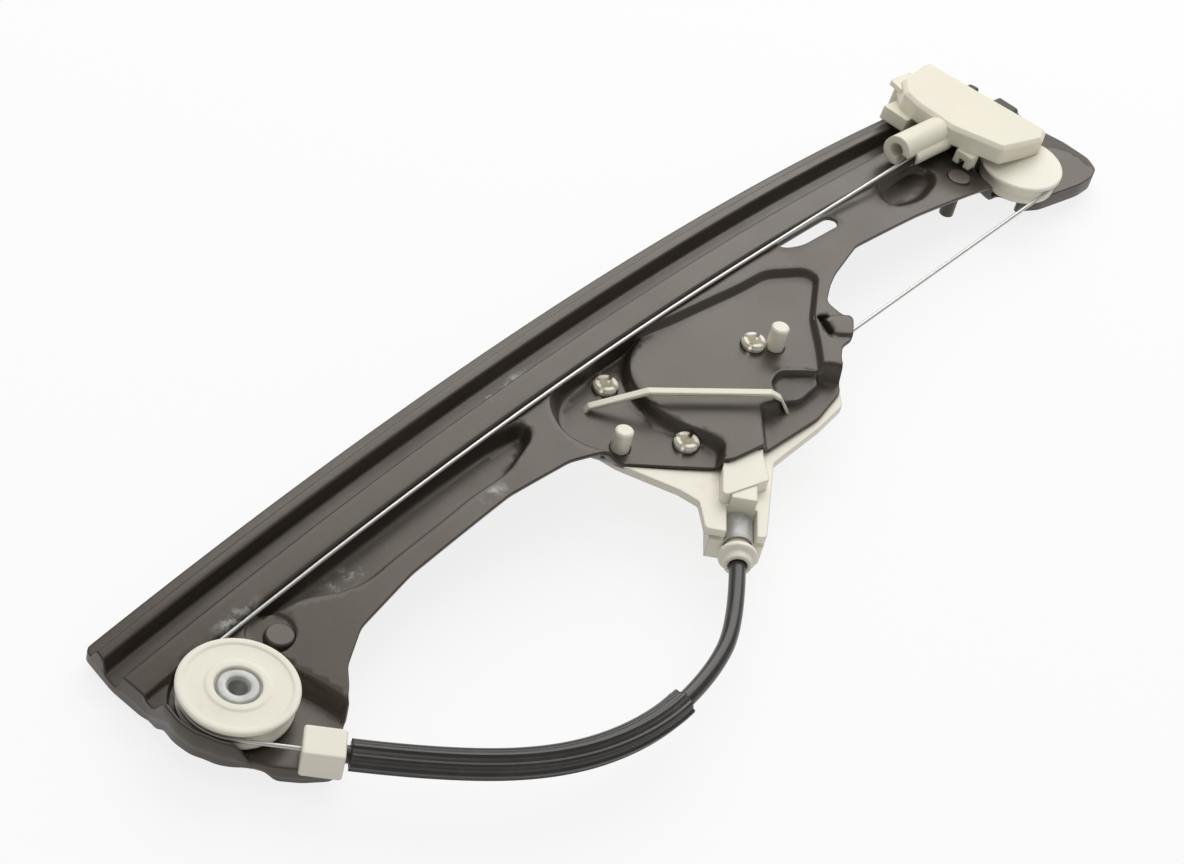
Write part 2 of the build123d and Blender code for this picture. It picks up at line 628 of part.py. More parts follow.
def tensioner_spring():
    s0, s1, turns, wire, r = CUP_S0 + 1.6, CUP_S1 - 3.6, 3.5, 0.45, 3.7
    coil = Helix(pitch=(s1 - s0) / turns, height=s1 - s0, radius=r)
    solid = sweep(Plane(origin=coil @ 0, z_dir=coil % 0) * Circle(wire), path=coil, is_frenet=True)
    return Plane(origin=(*on_out(s0), CABLE_Z), z_dir=(*OUT_DIR, 0), x_dir=(0, 0, 1)) * solid


# ---------------------------------------------------------------- carrier, built about its own centre
CARRIER_OUTLINE = [(15.5, 61.5), (-9.5, 58.5), (-18.5, 51.5), (-21.0, 43.0), (-21.9, 25.0), (-13.0, 3.6),
                   (12.0, -1.2), (21.0, 2.4)]
GLASS_X0 = -4.0
GLASS_Y = (19.6, 52.0)
GLASS_W = (8.4, 13.6)


def carrier_body():
    plan = loop(CARRIER_OUTLINE, 2.0)
    body = prism(plan, CARRIER_BOTTOM, CARRIER_TOP)
    body = chamfer(body.edges().group_by(Axis.Z)[-1], 1.6)
    keel = plan & Pos(0, 32) * Rectangle(60, 13.4)
    body += prism(keel, RIB_Z + 0.7, CARRIER_BOTTOM)
    body += Pos(-18.6, UPPER_ROPE_Y, (LUG_W - 2.7 + CARRIER_BOTTOM) / 2) * Box(5.6, 8.0, CARRIER_BOTTOM - LUG_W + 2.7)
    body += rod((-46.5, ROPE_Y, SOCKET_W), (-19, ROPE_Y, SOCKET_W), SOCKET_R)
    body += rod((BARREL_X0, *BARREL), (-15, *BARREL), BARREL_R)
    body += Pos(-18.7, 49.5, (RIDGE_Z + 0.9 + CARRIER_BOTTOM) / 2) * Box(10.6, 12, CARRIER_BOTTOM - RIDGE_Z - 0.9)
    body += prism(loop([(-15, 54), (-12.5, 62.2), (3, 61.5), (3, 54)], 1.0), 10.8, 12.8)
    body -= Pos((GLASS_X0 + 31) / 2, sum(GLASS_Y) / 2, sum(GLASS_W) / 2) * Box(
        31 - GLASS_X0, GLASS_Y[1] - GLASS_Y[0], GLASS_W[1] - GLASS_W[0])
    body -= rod((-56, ROPE_Y, SOCKET_W), (-19.0, ROPE_Y, SOCKET_W), SOCKET_BORE_R)
    body -= Pos(-14, ROPE_Y, (ROPE_ROOF - 1) / 2) * Box(84, 2.6, ROPE_ROOF + 1)
    body -= Pos(-38, ROPE_Y, SOCKET_W) * Rot(-45, 0, 0) * Pos(0, 0, -3) * Box(34, 2.6, 6)
    body -= rod((-56, *BARREL), (-34, *BARREL), BARREL_BORE_R)
    slant = math.degrees(math.atan2(BARREL[1] - SOCKET_W, BARREL[0] - ROPE_Y))
    body -= Pos(-45, (BARREL[0] + ROPE_Y) / 2, (BARREL[1] + SOCKET_W) / 2) * Rot(slant, 0, 0) * Box(22, 5, 2.6)
    body -= rod((-21.0, UPPER_ROPE_Y, LUG_W), (-10, UPPER_ROPE_Y, LUG_W), 2.4)
    body -= Pos(-16, UPPER_ROPE_Y, LUG_W / 2) * Box(14, 2.6, LUG_W)
    return body


def pulley_pass():
    top = UPPER_MID_Z + PULLEY_H / 2 + 0.5
    r = UPPER_R + 0.6
    y = UPPER_C[1]
    return disc(*UPPER_C, top - 12, top, r) + Pos(UPPER_C[0] + 20, y, top - 6) * Box(40, 2 * r, 12)


def glass_liner():
    depth = 3.0
    return Pos(GLASS_X0 + depth / 2, sum(GLASS_Y) / 2, sum(GLASS_W) / 2) * Box(
        depth, GLASS_Y[1] - GLASS_Y[0], GLASS_W[1] - GLASS_W[0])


def slider_shoe():
    y0, y1 = 56.2, 61.4
    pts = [(y0, CARRIER_BOTTOM), (y1, CARRIER_BOTTOM), (y1, -9), (55.4, -9), (55.4, -7.0)]
    pts += [(59.5, -7.0), (59.5, -4.4), (y0, -4.4)]
    face = make_face(Polyline(*[(-7.0, y, z) for y, z in pts], close=True))
    return extrude(face, amount=20.0, dir=(1, 0, 0))


def channel_shoe():
    low = CHANNEL_Z + 0.4
    body = Pos(0, 43.9, (low + CARRIER_BOTTOM) / 2) * Box(26, 5.2, CARRIER_BOTTOM - low)
    return fillet(body.edges().filter_by(Axis.Z), 1.0)


def cable_nipples():
    a = rod((-25.5, ROPE_Y, SOCKET_W), (-20.5, ROPE_Y, SOCKET_W), 2.5)
    a -= rod((-28, ROPE_Y, SOCKET_W), (-18, ROPE_Y, SOCKET_W), 1.2)
    a -= Pos(-23, ROPE_Y, SOCKET_W - 2) * Box(10, 2.4, 4)
    b = rod((-20.8, UPPER_ROPE_Y, LUG_W), (-16.2, UPPER_ROPE_Y, LUG_W), 2.3)
    b -= rod((-22, UPPER_ROPE_Y, LUG_W), (-15, UPPER_ROPE_Y, LUG_W), 1.3)
    b -= Pos(-18, UPPER_ROPE_Y, LUG_W - 2) * Box(10, 2.6, 4)
    return Compound(children=[a, b])


# ---------------------------------------------------------------- export
def write(name, shape):
    export_step(Pos(0, 0, -DRUM_MOUTH) * shape, "parts/" + name + ".step")


write("rail_plate", rail_plate())
write("mounting_studs", mounting_studs())
write("drum_housing", drum_housing())
write("drum_retaining_strap", drum_retaining_strap())
write("cable_drum", cable_drum())
write("drum_windings", drum_windings())
write("lower_pulley", lower_pulley())
write("lower_pulley_rivet", lower_pulley_rivet())
write("upper_pulley", upper_pulley())
write("pulley_washers", pulley_washers())
write("upper_pulley_axle", upper_pulley_axle())
write("rail_cable", rail_cable())
write("upper_cable", upper_cable())
write("drum_side_cable", drum_side_cable())
write("conduit", conduit())
write("conduit_cable", conduit_cable())
write("conduit_sleeve", conduit_sleeve())
write("conduit_end_block", conduit_end_block())
write("tensioner_cup", tensioner_cup())
write("tensioner_cap", tensioner_cap())
write("tensioner_spring", tensioner_spring())
write("carrier_body", tilted(carrier_body(), CARRIER_X) - pulley_pass())
write("glass_liner", tilted(glass_liner(), CARRIER_X))
write("slider_shoe", tilted(slider_shoe(), CARRIER_X))
write("channel_shoe", tilted(channel_shoe(), CARRIER_X))
write("cable_nipples", tilted(cable_nipples(), CARRIER_X))
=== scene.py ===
import math

import bmesh
import bpy
import numpy as np
from mathutils import Matrix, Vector
from mathutils.geometry import delaunay_2d_cdt


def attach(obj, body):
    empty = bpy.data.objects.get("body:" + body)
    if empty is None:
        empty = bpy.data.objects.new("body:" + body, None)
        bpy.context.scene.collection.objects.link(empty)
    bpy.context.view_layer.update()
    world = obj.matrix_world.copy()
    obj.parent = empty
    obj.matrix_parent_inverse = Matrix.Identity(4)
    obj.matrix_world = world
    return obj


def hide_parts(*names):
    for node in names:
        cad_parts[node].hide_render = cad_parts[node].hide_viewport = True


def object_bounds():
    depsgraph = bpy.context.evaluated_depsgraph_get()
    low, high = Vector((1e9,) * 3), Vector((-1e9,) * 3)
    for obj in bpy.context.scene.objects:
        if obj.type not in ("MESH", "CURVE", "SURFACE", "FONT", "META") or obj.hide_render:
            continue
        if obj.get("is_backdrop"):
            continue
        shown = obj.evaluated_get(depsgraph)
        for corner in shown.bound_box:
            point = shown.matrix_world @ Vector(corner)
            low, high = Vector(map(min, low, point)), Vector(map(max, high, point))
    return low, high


bl_info = {
    "name": "Window regulator",
    "version": (1, 0, 0),
    "blender": (4, 5, 0),
    "location": "View3D > Sidebar > Regulator",
    "description": "Dresses the packed window regulator with its pressed sheet, mouldings, rope and conduit",
    "category": "Object",
}

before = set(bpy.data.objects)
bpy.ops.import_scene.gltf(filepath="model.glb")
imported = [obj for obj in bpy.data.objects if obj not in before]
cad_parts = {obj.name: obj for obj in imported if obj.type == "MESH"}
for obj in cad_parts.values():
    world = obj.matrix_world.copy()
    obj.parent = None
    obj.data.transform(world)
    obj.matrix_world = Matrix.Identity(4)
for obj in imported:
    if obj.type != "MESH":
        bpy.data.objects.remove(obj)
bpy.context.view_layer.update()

MM = 0.001
RAIL_R = 1350.0          # crown radius of the curved rail, mm
LIFT = 24.6              # height of the web crown above the drum's mouth, mm
SHEET = 1.4              # thickness of the pressed sheet, mm
BEND_R = 0.9             # radius of the rail's rolled bends, mm
RAIL_ENDS = (-248.0, 277.0)
SKIRT_Z = -29.0          # lower edge of the turned-down end skirts, from the crown
RIM_Z = -14.6            # top of the rim that nests the lower pulley, from the crown
LOWER_C = (-226.5, 7.9)      # axes of the two pulleys, mm
UPPER_C = (224.0, -0.2)
LOWER_SEAT = -22.3       # flats that the pulleys stand over, from the crown
UPPER_SEAT = -22.3
LOWER_SEAT_R = 20.9
UPPER_SEAT_R = 18.4
LOWER_PULLEY_Z = -16.6   # middle of each pulley, from the crown
UPPER_PULLEY_Z = -17.1
PULLEY_HALF = 4.5
PEG_HOLE_R = 4.5
PIN_HOLE_R = 3.7
MOUNT_HOLE_R = 5.0
ROUTE_Z = 8.0            # height of the conduit's centre line, mm
CONDUIT_ROUTE = [(-221.757, -27.266), (-200.545, -52.546), (-168.0, -80.0), (-134.0, -91.2), (-99.0, -89.0),
                 (-72.780, -79.831), (-47.957, -60.438)]
CONDUIT_R = 3.0
OUT_ANGLE = math.radians(-142.0)    # direction of the rope that leaves the drum for the tensioner
OUT_T = (11.1435, -14.263)          # where that rope leaves the drum, mm
SLEEVE_RUN = (7.5, 128.0)           # where the ribbed sleeve starts and ends along the conduit, mm
SLEEVE_BORE_R = 3.3
SLEEVE_RIBS = 8
FLOOR_HALF = 6.0             # half the floor's side, m
FLOOR_GAP = 0.0006           # gap under the lowest point, m
FLOOR_GLOW = 0.82            # share of the floor that shows as plain white
CAMERA_PLACE = (-0.73240, -0.37831, 0.73489)    # m
CAMERA_RIGHT = (0.63036, -0.75136, 0.19521)
CAMERA_UP = (0.43637, 0.55092, 0.71138)
CAMERA_AHEAD = (0.64204, 0.36324, -0.67516)
CAMERA_LENS = 91.2


# ---------------------------------------------------------------- settings
class RegulatorSizes(bpy.types.PropertyGroup):
    wall: bpy.props.FloatProperty(
        name="Wall run", description="How far a pressed wall runs sideways as it drops", default=2.6 * MM,
        min=0.5 * MM, max=6 * MM, unit="LENGTH", precision=5)
    grid: bpy.props.FloatProperty(
        name="Sheet grid", description="Spacing of the points on the open sheet", default=2.4 * MM,
        min=1 * MM, max=10 * MM, unit="LENGTH", precision=5)
    edge: bpy.props.FloatProperty(
        name="Moulded edge", description="Rounding of the edges of moulded pieces", default=1.1 * MM,
        min=0.0, max=2 * MM, unit="LENGTH", precision=5)
    sleeve_r: bpy.props.FloatProperty(
        name="Sleeve radius", description="Radius of the rubber sleeve between its ribs", default=4.5 * MM,
        min=3.5 * MM, max=5 * MM, unit="LENGTH", precision=5)
    rib: bpy.props.FloatProperty(
        name="Sleeve rib", description="Height of the sleeve's long ribs", default=0.75 * MM,
        min=0.0, max=1 * MM, unit="LENGTH", precision=5)
    steps: bpy.props.IntProperty(
        name="Round steps", description="Steps around a turned piece", default=96, min=24, max=256)


class RegulatorFinishes(bpy.types.PropertyGroup):
    ecoat: bpy.props.FloatVectorProperty(
        name="Coated steel", description="Colour of the dipped black coat", subtype="COLOR", size=3,
        default=(0.036, 0.028, 0.021), min=0.0, max=1.0)
    ivory: bpy.props.FloatVectorProperty(
        name="Ivory acetal", description="Colour of the pulleys and the drum housing", subtype="COLOR",
        size=3, default=(0.87, 0.83, 0.71), min=0.0, max=1.0)
    cream: bpy.props.FloatVectorProperty(
        name="Cream acetal", description="Colour of the glass carrier", subtype="COLOR", size=3,
        default=(0.82, 0.775, 0.635), min=0.0, max=1.0)
    zinc: bpy.props.FloatVectorProperty(
        name="Zinc", description="Colour of plated steel", subtype="COLOR", size=3,
        default=(0.50, 0.50, 0.48), min=0.0, max=1.0)
    rubber: bpy.props.FloatVectorProperty(
        name="Rubber", description="Colour of the conduit and its sleeve", subtype="COLOR", size=3,
        default=(0.022, 0.018, 0.014), min=0.0, max=1.0)
    grease: bpy.props.FloatVectorProperty(
        name="Grease", description="Colour of the smeared grease", subtype="COLOR", size=3,
        default=(0.42, 0.44, 0.42), min=0.0, max=1.0)


class RegulatorStage(bpy.types.PropertyGroup):
    key: bpy.props.FloatProperty(
        name="Key lamp", description="Power of the wide lamp behind the rail", default=31.0, min=0.0,
        unit="POWER")
    fill: bpy.props.FloatProperty(
        name="Fill lamp", description="Power of the lamp above", default=4.0, min=0.0, unit="POWER")
    sky: bpy.props.FloatProperty(
        name="Sky", description="Strength of the even light", default=0.42, min=0.0, max=2.0)
    floor: bpy.props.FloatVectorProperty(
        name="Floor", description="Colour of the floor", subtype="COLOR", size=3, default=(0.9, 0.9, 0.9),
        min=0.0, max=1.0)


def sizes():
    return bpy.context.scene.regulator_sizes


def finishes():
    return bpy.context.scene.regulator_finishes


# ---------------------------------------------------------------- shader expressions
class Value:
    """A number on a socket: arithmetic on it adds Math nodes to its tree."""

    def __init__(self, tree, socket):
        self.tree = tree
        self.socket = socket

    def math(self, operation, *others, clamp=False):
        node = self.tree.nodes.new("ShaderNodeMath")
        node.operation = operation
        node.use_clamp = clamp
        for slot, value in zip(node.inputs, others):
            feed(self.tree, slot, value)
        return Value(self.tree, node.outputs[0])

    def __add__(self, other):
        return self.math("ADD", self, other)

    def __sub__(self, other):
        return self.math("SUBTRACT", self, other)

    def __mul__(self, other):
        return self.math("MULTIPLY", self, other)

    def __truediv__(self, other):
        return self.math("DIVIDE", self, other)

    def __pow__(self, other):
        return self.math("POWER", self, other)

    def __rsub__(self, other):
        return self.math("SUBTRACT", other, self)

    __radd__ = __add__
    __rmul__ = __mul__

    def clip(self):
        return self.math("ADD", self, 0.0, clamp=True)

    def step(self, low, high):
        """0 below low, 1 above high, and a smooth rise between them."""
        node = self.tree.nodes.new("ShaderNodeMapRange")
        node.interpolation_type = "SMOOTHSTEP"
        for name, value in (("Value", self), ("From Min", low), ("From Max", high)):
            feed(self.tree, node.inputs[name], value)
        return Value(self.tree, node.outputs[0])


def feed(tree, slot, value):
    if isinstance(value, Value):
        tree.links.new(value.socket, slot)
    else:
        slot.default_value = value


class Finish:
    """A material whose nodes are added one call at a time."""

    def __init__(self, name):
        self.material = bpy.data.materials.new(name)
        self.material.use_nodes = True
        self.tree = self.material.node_tree
        self.tree.nodes.clear()
        self.shader = self.tree.nodes.new("ShaderNodeBsdfPrincipled")
        output = self.tree.nodes.new("ShaderNodeOutputMaterial")
        self.tree.links.new(self.shader.outputs[0], output.inputs["Surface"])

    def node(self, kind, settings=None, output=0, **values):
        """Adds a node: its settings first, then its sockets by name, where _ stands for a space."""
        node = self.tree.nodes.new("ShaderNode" + kind)
        for name, value in (settings or {}).items():
            setattr(node, name, value)
        for name, value in values.items():
            feed(self.tree, node.inputs[name.replace("_", " ")], value)
        return Value(self.tree, node.outputs[output])

    def place(self, scale=(1.0, 1.0, 1.0), shift=(0.0, 0.0, 0.0), turn=(0.0, 0.0, 0.0)):
        """Object coordinates, moved, turned and scaled."""
        where = self.node("TexCoord", output="Object")
        return self.node("Mapping", {"vector_type": "POINT"}, Vector=where, Location=shift, Rotation=turn,
                         Scale=scale)

    def noise(self, scale, detail=3.0, rough=0.55, where=None):
        where = where or self.node("TexCoord", output="Object")
        return self.node("TexNoise", Vector=where, Scale=scale, Detail=detail, Roughness=rough)

    def mix(self, factor, low, high):
        """A colour between low and high."""
        node = self.tree.nodes.new("ShaderNodeMix")
        node.data_type = "RGBA"
        feed(self.tree, node.inputs[0], factor)
        feed(self.tree, node.inputs[6], low if isinstance(low, Value) else (*low, 1.0))
        feed(self.tree, node.inputs[7], high if isinstance(high, Value) else (*high, 1.0))
        return Value(self.tree, node.outputs[2])

    def spot(self, centre, reach, soft):
        """1 inside an ellipsoid of the given half lengths about centre, fading over the share soft."""
        scale = tuple(1.0 / r for r in reach)
        shift = tuple(-c / r for c, r in zip(centre, reach))
        far = self.node("VectorMath", {"operation": "LENGTH"}, output="Value",
                        Vector=self.place(scale=scale, shift=shift))
        return 1.0 - far.step(1.0 - soft, 1.0)

    def relief(self, height, strength, distance, edge=0.0):
        """Bump of a height over rounded edges, into the shader's normal."""
        bump = self.tree.nodes.new("ShaderNodeBump")
        bump.inputs["Strength"].default_value = strength
        bump.inputs["Distance"].default_value = distance
        feed(self.tree, bump.inputs["Height"], height)
        if edge:
            bevel = self.tree.nodes.new("ShaderNodeBevel")
            bevel.samples = 6
            bevel.inputs["Radius"].default_value = edge
            self.tree.links.new(bevel.outputs[0], bump.inputs["Normal"])
        self.tree.links.new(bump.outputs[0], self.shader.inputs["Normal"])

    def set(self, **values):
        for name, value in values.items():
            feed(self.tree, self.shader.inputs[name.replace("_", " ")], value)
        return self.material


def shade(colour, by):
    return tuple(min(1.0, c * by) for c in colour)


def tone(colour):
    return tuple(colour)


# ---------------------------------------------------------------- surfaces
def new_piece(name, points, faces, material, body, smooth=True):
    """A mesh piece from an array of points in millimetres and an array of faces; it rides on a body."""
    mesh = bpy.data.meshes.new(name)
    mesh.from_pydata((np.asarray(points) * MM).tolist(), [], faces.tolist())
    mesh.validate()
    work = bmesh.new()
    work.from_mesh(mesh)
    bmesh.ops.remove_doubles(work, verts=work.verts, dist=2e-6)
    bmesh.ops.recalc_face_normals(work, faces=work.faces)
    work.to_mesh(mesh)
    work.free()
    piece = bpy.data.objects.new(name, mesh)
    bpy.context.scene.collection.objects.link(piece)
    mesh.polygons.foreach_set("use_smooth", np.full(len(mesh.polygons), smooth))
    mesh.materials.append(material)
    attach(piece, body)
    return piece


def grid_faces(rows, columns, wrap_rows=False, wrap_columns=True):
    """Quads between neighbouring points of a grid that may close on itself either way."""
    r = np.arange(rows if wrap_rows else rows - 1)
    c = np.arange(columns if wrap_columns else columns - 1)
    r, c = np.meshgrid(r, c, indexing="ij")
    a = r * columns + c
    b = r * columns + (c + 1) % columns
    d = ((r + 1) % rows) * columns + c
    e = ((r + 1) % rows) * columns + (c + 1) % columns
    return np.stack([a, b, e, d], axis=-1).reshape(-1, 4)


def rounded_profile(corners, radius, steps=4):
    """An open profile whose inner corners become arcs: each corner is a parabola between two points set back
    along its sides by the radius or by 0.45 of the shorter side."""
    p = np.asarray(corners, float)
    before, at, after = p[:-2], p[1:-1], p[2:]
    u, v = before - at, after - at
    lu = np.linalg.norm(u, axis=1, keepdims=True)
    lv = np.linalg.norm(v, axis=1, keepdims=True)
    reach = np.minimum(radius, 0.45 * np.minimum(lu, lv))
    a, b = at + u / lu * reach, at + v / lv * reach
    t = np.linspace(0, 1, steps)[None, :, None]
    arcs = (1 - t) ** 2 * a[:, None] + 2 * t * (1 - t) * at[:, None] + t ** 2 * b[:, None]
    return np.vstack([p[:1], arcs.reshape(-1, 2), p[-1:]])


def turned(name, corners, material, body, origin=(0.0, 0.0, 0.0), along=(0.0, 0.0, 1.0), radius=0.4):
    """A profile of radius and height turned about an axis: a point at angle t is r cos t and r sin t on two
    directions square to the axis, plus its height on the axis."""
    profile = rounded_profile(corners, radius)
    w = np.asarray(along, float)
    w = w / np.linalg.norm(w)
    u = np.cross(w, (0.0, 0.0, 1.0)) if abs(w[2]) < 0.9 else np.array([1.0, 0.0, 0.0])
    u = u / np.linalg.norm(u)
    v = np.cross(w, u)
    t = np.linspace(0, 2 * math.pi, sizes().steps, endpoint=False)
    ring = np.cos(t)[:, None] * u + np.sin(t)[:, None] * v
    points = np.asarray(origin) + profile[:, :1, None] * ring[None] + profile[:, 1:, None] * w
    return new_piece(name, points.reshape(-1, 3), grid_faces(len(profile), len(t)), material, body)


def along_path(path, section, up=(0.0, 0.0, 1.0)):
    """A closed section carried along a path: a section point (a, b) lies a along the side of the path and b
    along its upper direction at every path point. Returns points in rows, one row for each path point."""
    path = np.asarray(path, float)
    ahead = np.gradient(path, axis=0)
    ahead /= np.linalg.norm(ahead, axis=1, keepdims=True)
    side = np.cross(np.asarray(up, float), ahead)
    side /= np.linalg.norm(side, axis=1, keepdims=True)
    rise = np.cross(ahead, side)
    section = np.asarray(section, float)
    return path[:, None] + section[None, :, :1] * side[:, None] + section[None, :, 1:] * rise[:, None]


def tube(name, path, section, material, body, inner=None):
    """A tube of a closed section along a path: with an inner wall where inner gives that wall's section, and
    otherwise with flat ends that close on the path."""
    outer = along_path(path, section)
    if inner is None:
        middle = np.repeat(np.asarray(path, float)[[0, -1], None], len(section), axis=1)
        rows = np.concatenate([middle[:1], outer, middle[1:]])
        return new_piece(name, rows.reshape(-1, 3), grid_faces(len(rows), len(section)), material, body)
    bore = along_path(path, np.asarray(section) * 0 + inner)[::-1]
    rows = np.concatenate([outer, bore])
    faces = grid_faces(len(rows), len(section), wrap_rows=True)
    return new_piece(name, rows.reshape(-1, 3), faces, material, body)


# ---------------------------------------------------------------- plan regions of the pressed sheet, mm
def soft_loop(corners, radius, step=1.6):
    """A closed line through corners that are rounded as parabolas, with points a step apart."""
    p = np.asarray(corners, float)
    u, v = np.roll(p, 1, axis=0) - p, np.roll(p, -1, axis=0) - p
    lu = np.linalg.norm(u, axis=1, keepdims=True)
    lv = np.linalg.norm(v, axis=1, keepdims=True)
    reach = np.minimum(radius, 0.48 * np.minimum(lu, lv))
    a, b = p + u / lu * reach, p + v / lv * reach
    t = np.linspace(0, 1, 7)[None, :, None]
    line = ((1 - t) ** 2 * a[:, None] + 2 * t * (1 - t) * p[:, None] + t ** 2 * b[:, None]).reshape(-1, 2)
    line = np.vstack([line, line[:1]])
    run = np.concatenate([[0], np.cumsum(np.linalg.norm(np.diff(line, axis=0), axis=1))])
    s = np.linspace(0, run[-1], max(8, int(run[-1] / step)), endpoint=False)
    return np.stack([np.interp(s, run, line[:, 0]), np.interp(s, run, line[:, 1])], axis=1)


def circle(centre, radius, step=1.4):
    t = np.linspace(0, 2 * math.pi, max(16, int(2 * math.pi * radius / step)), endpoint=False)
    return np.stack([centre[0] + radius * np.cos(t), centre[1] + radius * np.sin(t)], axis=1)


def depth_in(line, x, y):
    """Distance to a closed line, positive inside: the least distance to its segments, with the sign from how
    many times a ray to the right crosses it."""
    a = line
    d = np.roll(line, -1, axis=0) - a
    px, py = x[:, None] - a[None, :, 0], y[:, None] - a[None, :, 1]
    t = np.clip((px * d[:, 0] + py * d[:, 1]) / (d ** 2).sum(axis=1), 0, 1)
    far = np.sqrt(((px - t * d[:, 0]) ** 2 + (py - t * d[:, 1]) ** 2).min(axis=1))
    crosses = (py < 0) != (py - d[:, 1] < 0)
    reach = px - np.divide(py, d[:, 1], out=np.zeros_like(py), where=d[:, 1] != 0) * d[:, 0]
    return np.where((crosses & (reach < 0)).sum(axis=1) % 2 == 1, far, -far)


def widened(line, by):
    """A closed line moved outwards along its own normals."""
    ahead = np.roll(line, -1, axis=0) - np.roll(line, 1, axis=0)
    ahead /= np.linalg.norm(ahead, axis=1, keepdims=True)
    area = (line[:, 0] * np.roll(line[:, 1], -1) - np.roll(line[:, 0], -1) * line[:, 1]).sum()
    out = np.stack([ahead[:, 1], -ahead[:, 0]], axis=1) * np.sign(area)
    return line + out * by


OUTLINE = [(-243.4, 58.8), (268.0, 58.8), (271.0, 46.0), (271.0, 29.0), (268.5, 17.0), (271.5, 4.0),
           (271.0, -9.0), (266.5, -15.5), (255.5, -19.7), (246.4, -19.4), (224.4, -14.2), (213.0, -7.5),
           (210.5, -0.8), (190.0, 2.0), (153.0, 5.6), (112.0, 7.6), (90.0, 2.0), (81.5, -1.4), (72.0, -6.5),
           (70.8, -14.4), (72.0, -19.0), (62.5, -25.8), (56.0, -25.8), (50.0, -29.5), (42.5, -37.0),
           (24.0, -40.5), (-6.0, -38.8), (-24.0, -35.5), (-38.0, -22.5), (-54.0, -7.0), (-72.0, 0.5),
           (-100.0, 4.0), (-150.0, 3.2), (-178.0, -0.5), (-192.0, -8.0), (-198.0, -14.5), (-207.5, -22.0),
           (-213.0, -29.0), (-220.5, -31.0), (-228.6, -25.0), (-236.4, -16.4), (-239.6, -11.0),
           (-243.4, -7.6), (-246.2, -3.6), (-247.4, 0.2), (-249.4, 4.2), (-250.0, 11.4), (-248.0, 20.4),
           (-246.6, 26.5), (-246.4, 42.7)]
COVER_PANEL = [(2, 25.5), (14, 23), (50, 18.4), (66, 17.6), (80, 9.5), (80.5, 6), (60, -7), (48, -19),
               (39, -27), (14, -27.5), (7, -24), (-12, -41), (-20, -50), (-40, -44), (-29, -35.5),
               (-18.5, -29), (-19.2, -22.5), (-23.5, -12), (-24.9, -1), (-23.2, 9), (-18.8, 16.5),
               (-12, 22), (-5, 25)]
LOW_LEFT = [(-54, 19.5), (-46, 25), (-22, 27.2), (-4, 27.0), (0, 0), (-14, -30), (-40, -52), (-56, -30),
            (-50, -10), (-57, 2), (-58.5, 10)]
LOW_RIGHT = [(4, -18), (14, -27), (39, -26.5), (50, -40), (40, -52), (-24, -52), (-14, -38)]
GUTTER = [(-198, 26.2), (-188, 26.5), (-171, 25.8), (-147, 25.8), (-116, 26.0), (-86, 25.2), (-72, 22.8),
          (-75.5, 18.5), (-92.9, 13.5), (-111, 14.6), (-130, 14.0), (-151, 14.0), (-162, 13.2),
          (-171, 15.8), (-183, 23.6), (-193, 25.4)]
UPPER_PAN = [(150, 17.0), (164.7, 14), (180, 17.5), (186, 22.5), (179.3, 25.4), (156, 24.6)]
LOWER_TOE = [(-254, 8), (-254, -25.5), (-236, -40), (-205, -36), (-206, -12), (-210, 8)]
UPPER_TOE = [(200, -7.5), (200, -30), (258, -30), (262, -4), (250, 12), (224, 12), (214, -7.5)]
OVAL = [(82, 25.8), (85, 22.4), (92, 19.8), (116, 19.2), (119, 22.5), (116, 25.8)]
WINDOW = [(15.5, -27.0), (19, -21.0), (26, -19.0), (37.0, -27.5), (35, -30.5), (22, -31.5)]
TAB_SLIT = [(61.6, -9.4), (65.6, -11.6), (65.0, -12.8), (62.4, -11.4), (58.4, -19.2), (57.2, -18.6)]
TAB = [(61.5, -13.5), (66.0, -13.5), (73.0, -18.5), (65.0, -25.0), (58.5, -20.0)]
STUD_PAD = (-200.6, 18.6)
PEGS = [(-27.6, 20.1), (-26.9, -17.6), (30.5, -2.8)]
PINS = [(-46.6, -3.0), (36.8, -8.4)]
STUDS = [(-199.5, 15.5), (194.1, 11.5)]
SECTION = [(-60, 0), (27.9, 0), (28.7, 2.0), (38.8, 2.0), (40.4, -5.5), (47.4, -5.5), (49.0, 0.6),
           (53.0, 0.6), (55.2, -5.0), (62.0, -5.0)]


def ease(t):
    """0 to 1 as t goes from 0 to 1, level at both ends."""
    t = np.clip(t, 0, 1)
    return t * t * (3 - 2 * t)


def drop(x):
    """How far the curved rail has dropped from its crown at x."""
    return RAIL_R - np.sqrt(RAIL_R ** 2 - x ** 2)


def sheet_regions():
    """Each pressed region: its closed line, its level, whether that is a true flat, and its wall's run."""
    w = sizes().wall / MM
    return [
        (soft_loop(LOW_LEFT, 4), -8.0, False, w * 2.2), (soft_loop(LOW_RIGHT, 6), -8.0, False, w),
        (soft_loop(COVER_PANEL, 4), -3.0, False, w), (soft_loop(GUTTER, 5), -6.6, False, w),
        (circle(STUD_PAD, 7.6), -0.9, False, 1.2), (soft_loop(TAB, 2), 1.2, False, 1.6),
        # the window is pressed as a closed pocket, and ecoat_finish paints its floor near black as painted
        # shade of an opening
        (soft_loop(WINDOW, 2.5, 1.0), -4.8, False, 1.2), (soft_loop(TAB_SLIT, 0.8, 0.8), -3.4, False, 0.5),
        (soft_loop(UPPER_PAN, 5), -2.6, False, w * 1.6),
        (circle(LOWER_C, LOWER_SEAT_R), LOWER_SEAT, True, 1.1),
        (soft_loop(LOWER_TOE, 6), LOWER_SEAT, True, 4.5),
        (circle(UPPER_C, UPPER_SEAT_R), UPPER_SEAT, True, 2.0),
        (soft_loop(UPPER_TOE, 6), UPPER_SEAT, True, 2.0)]


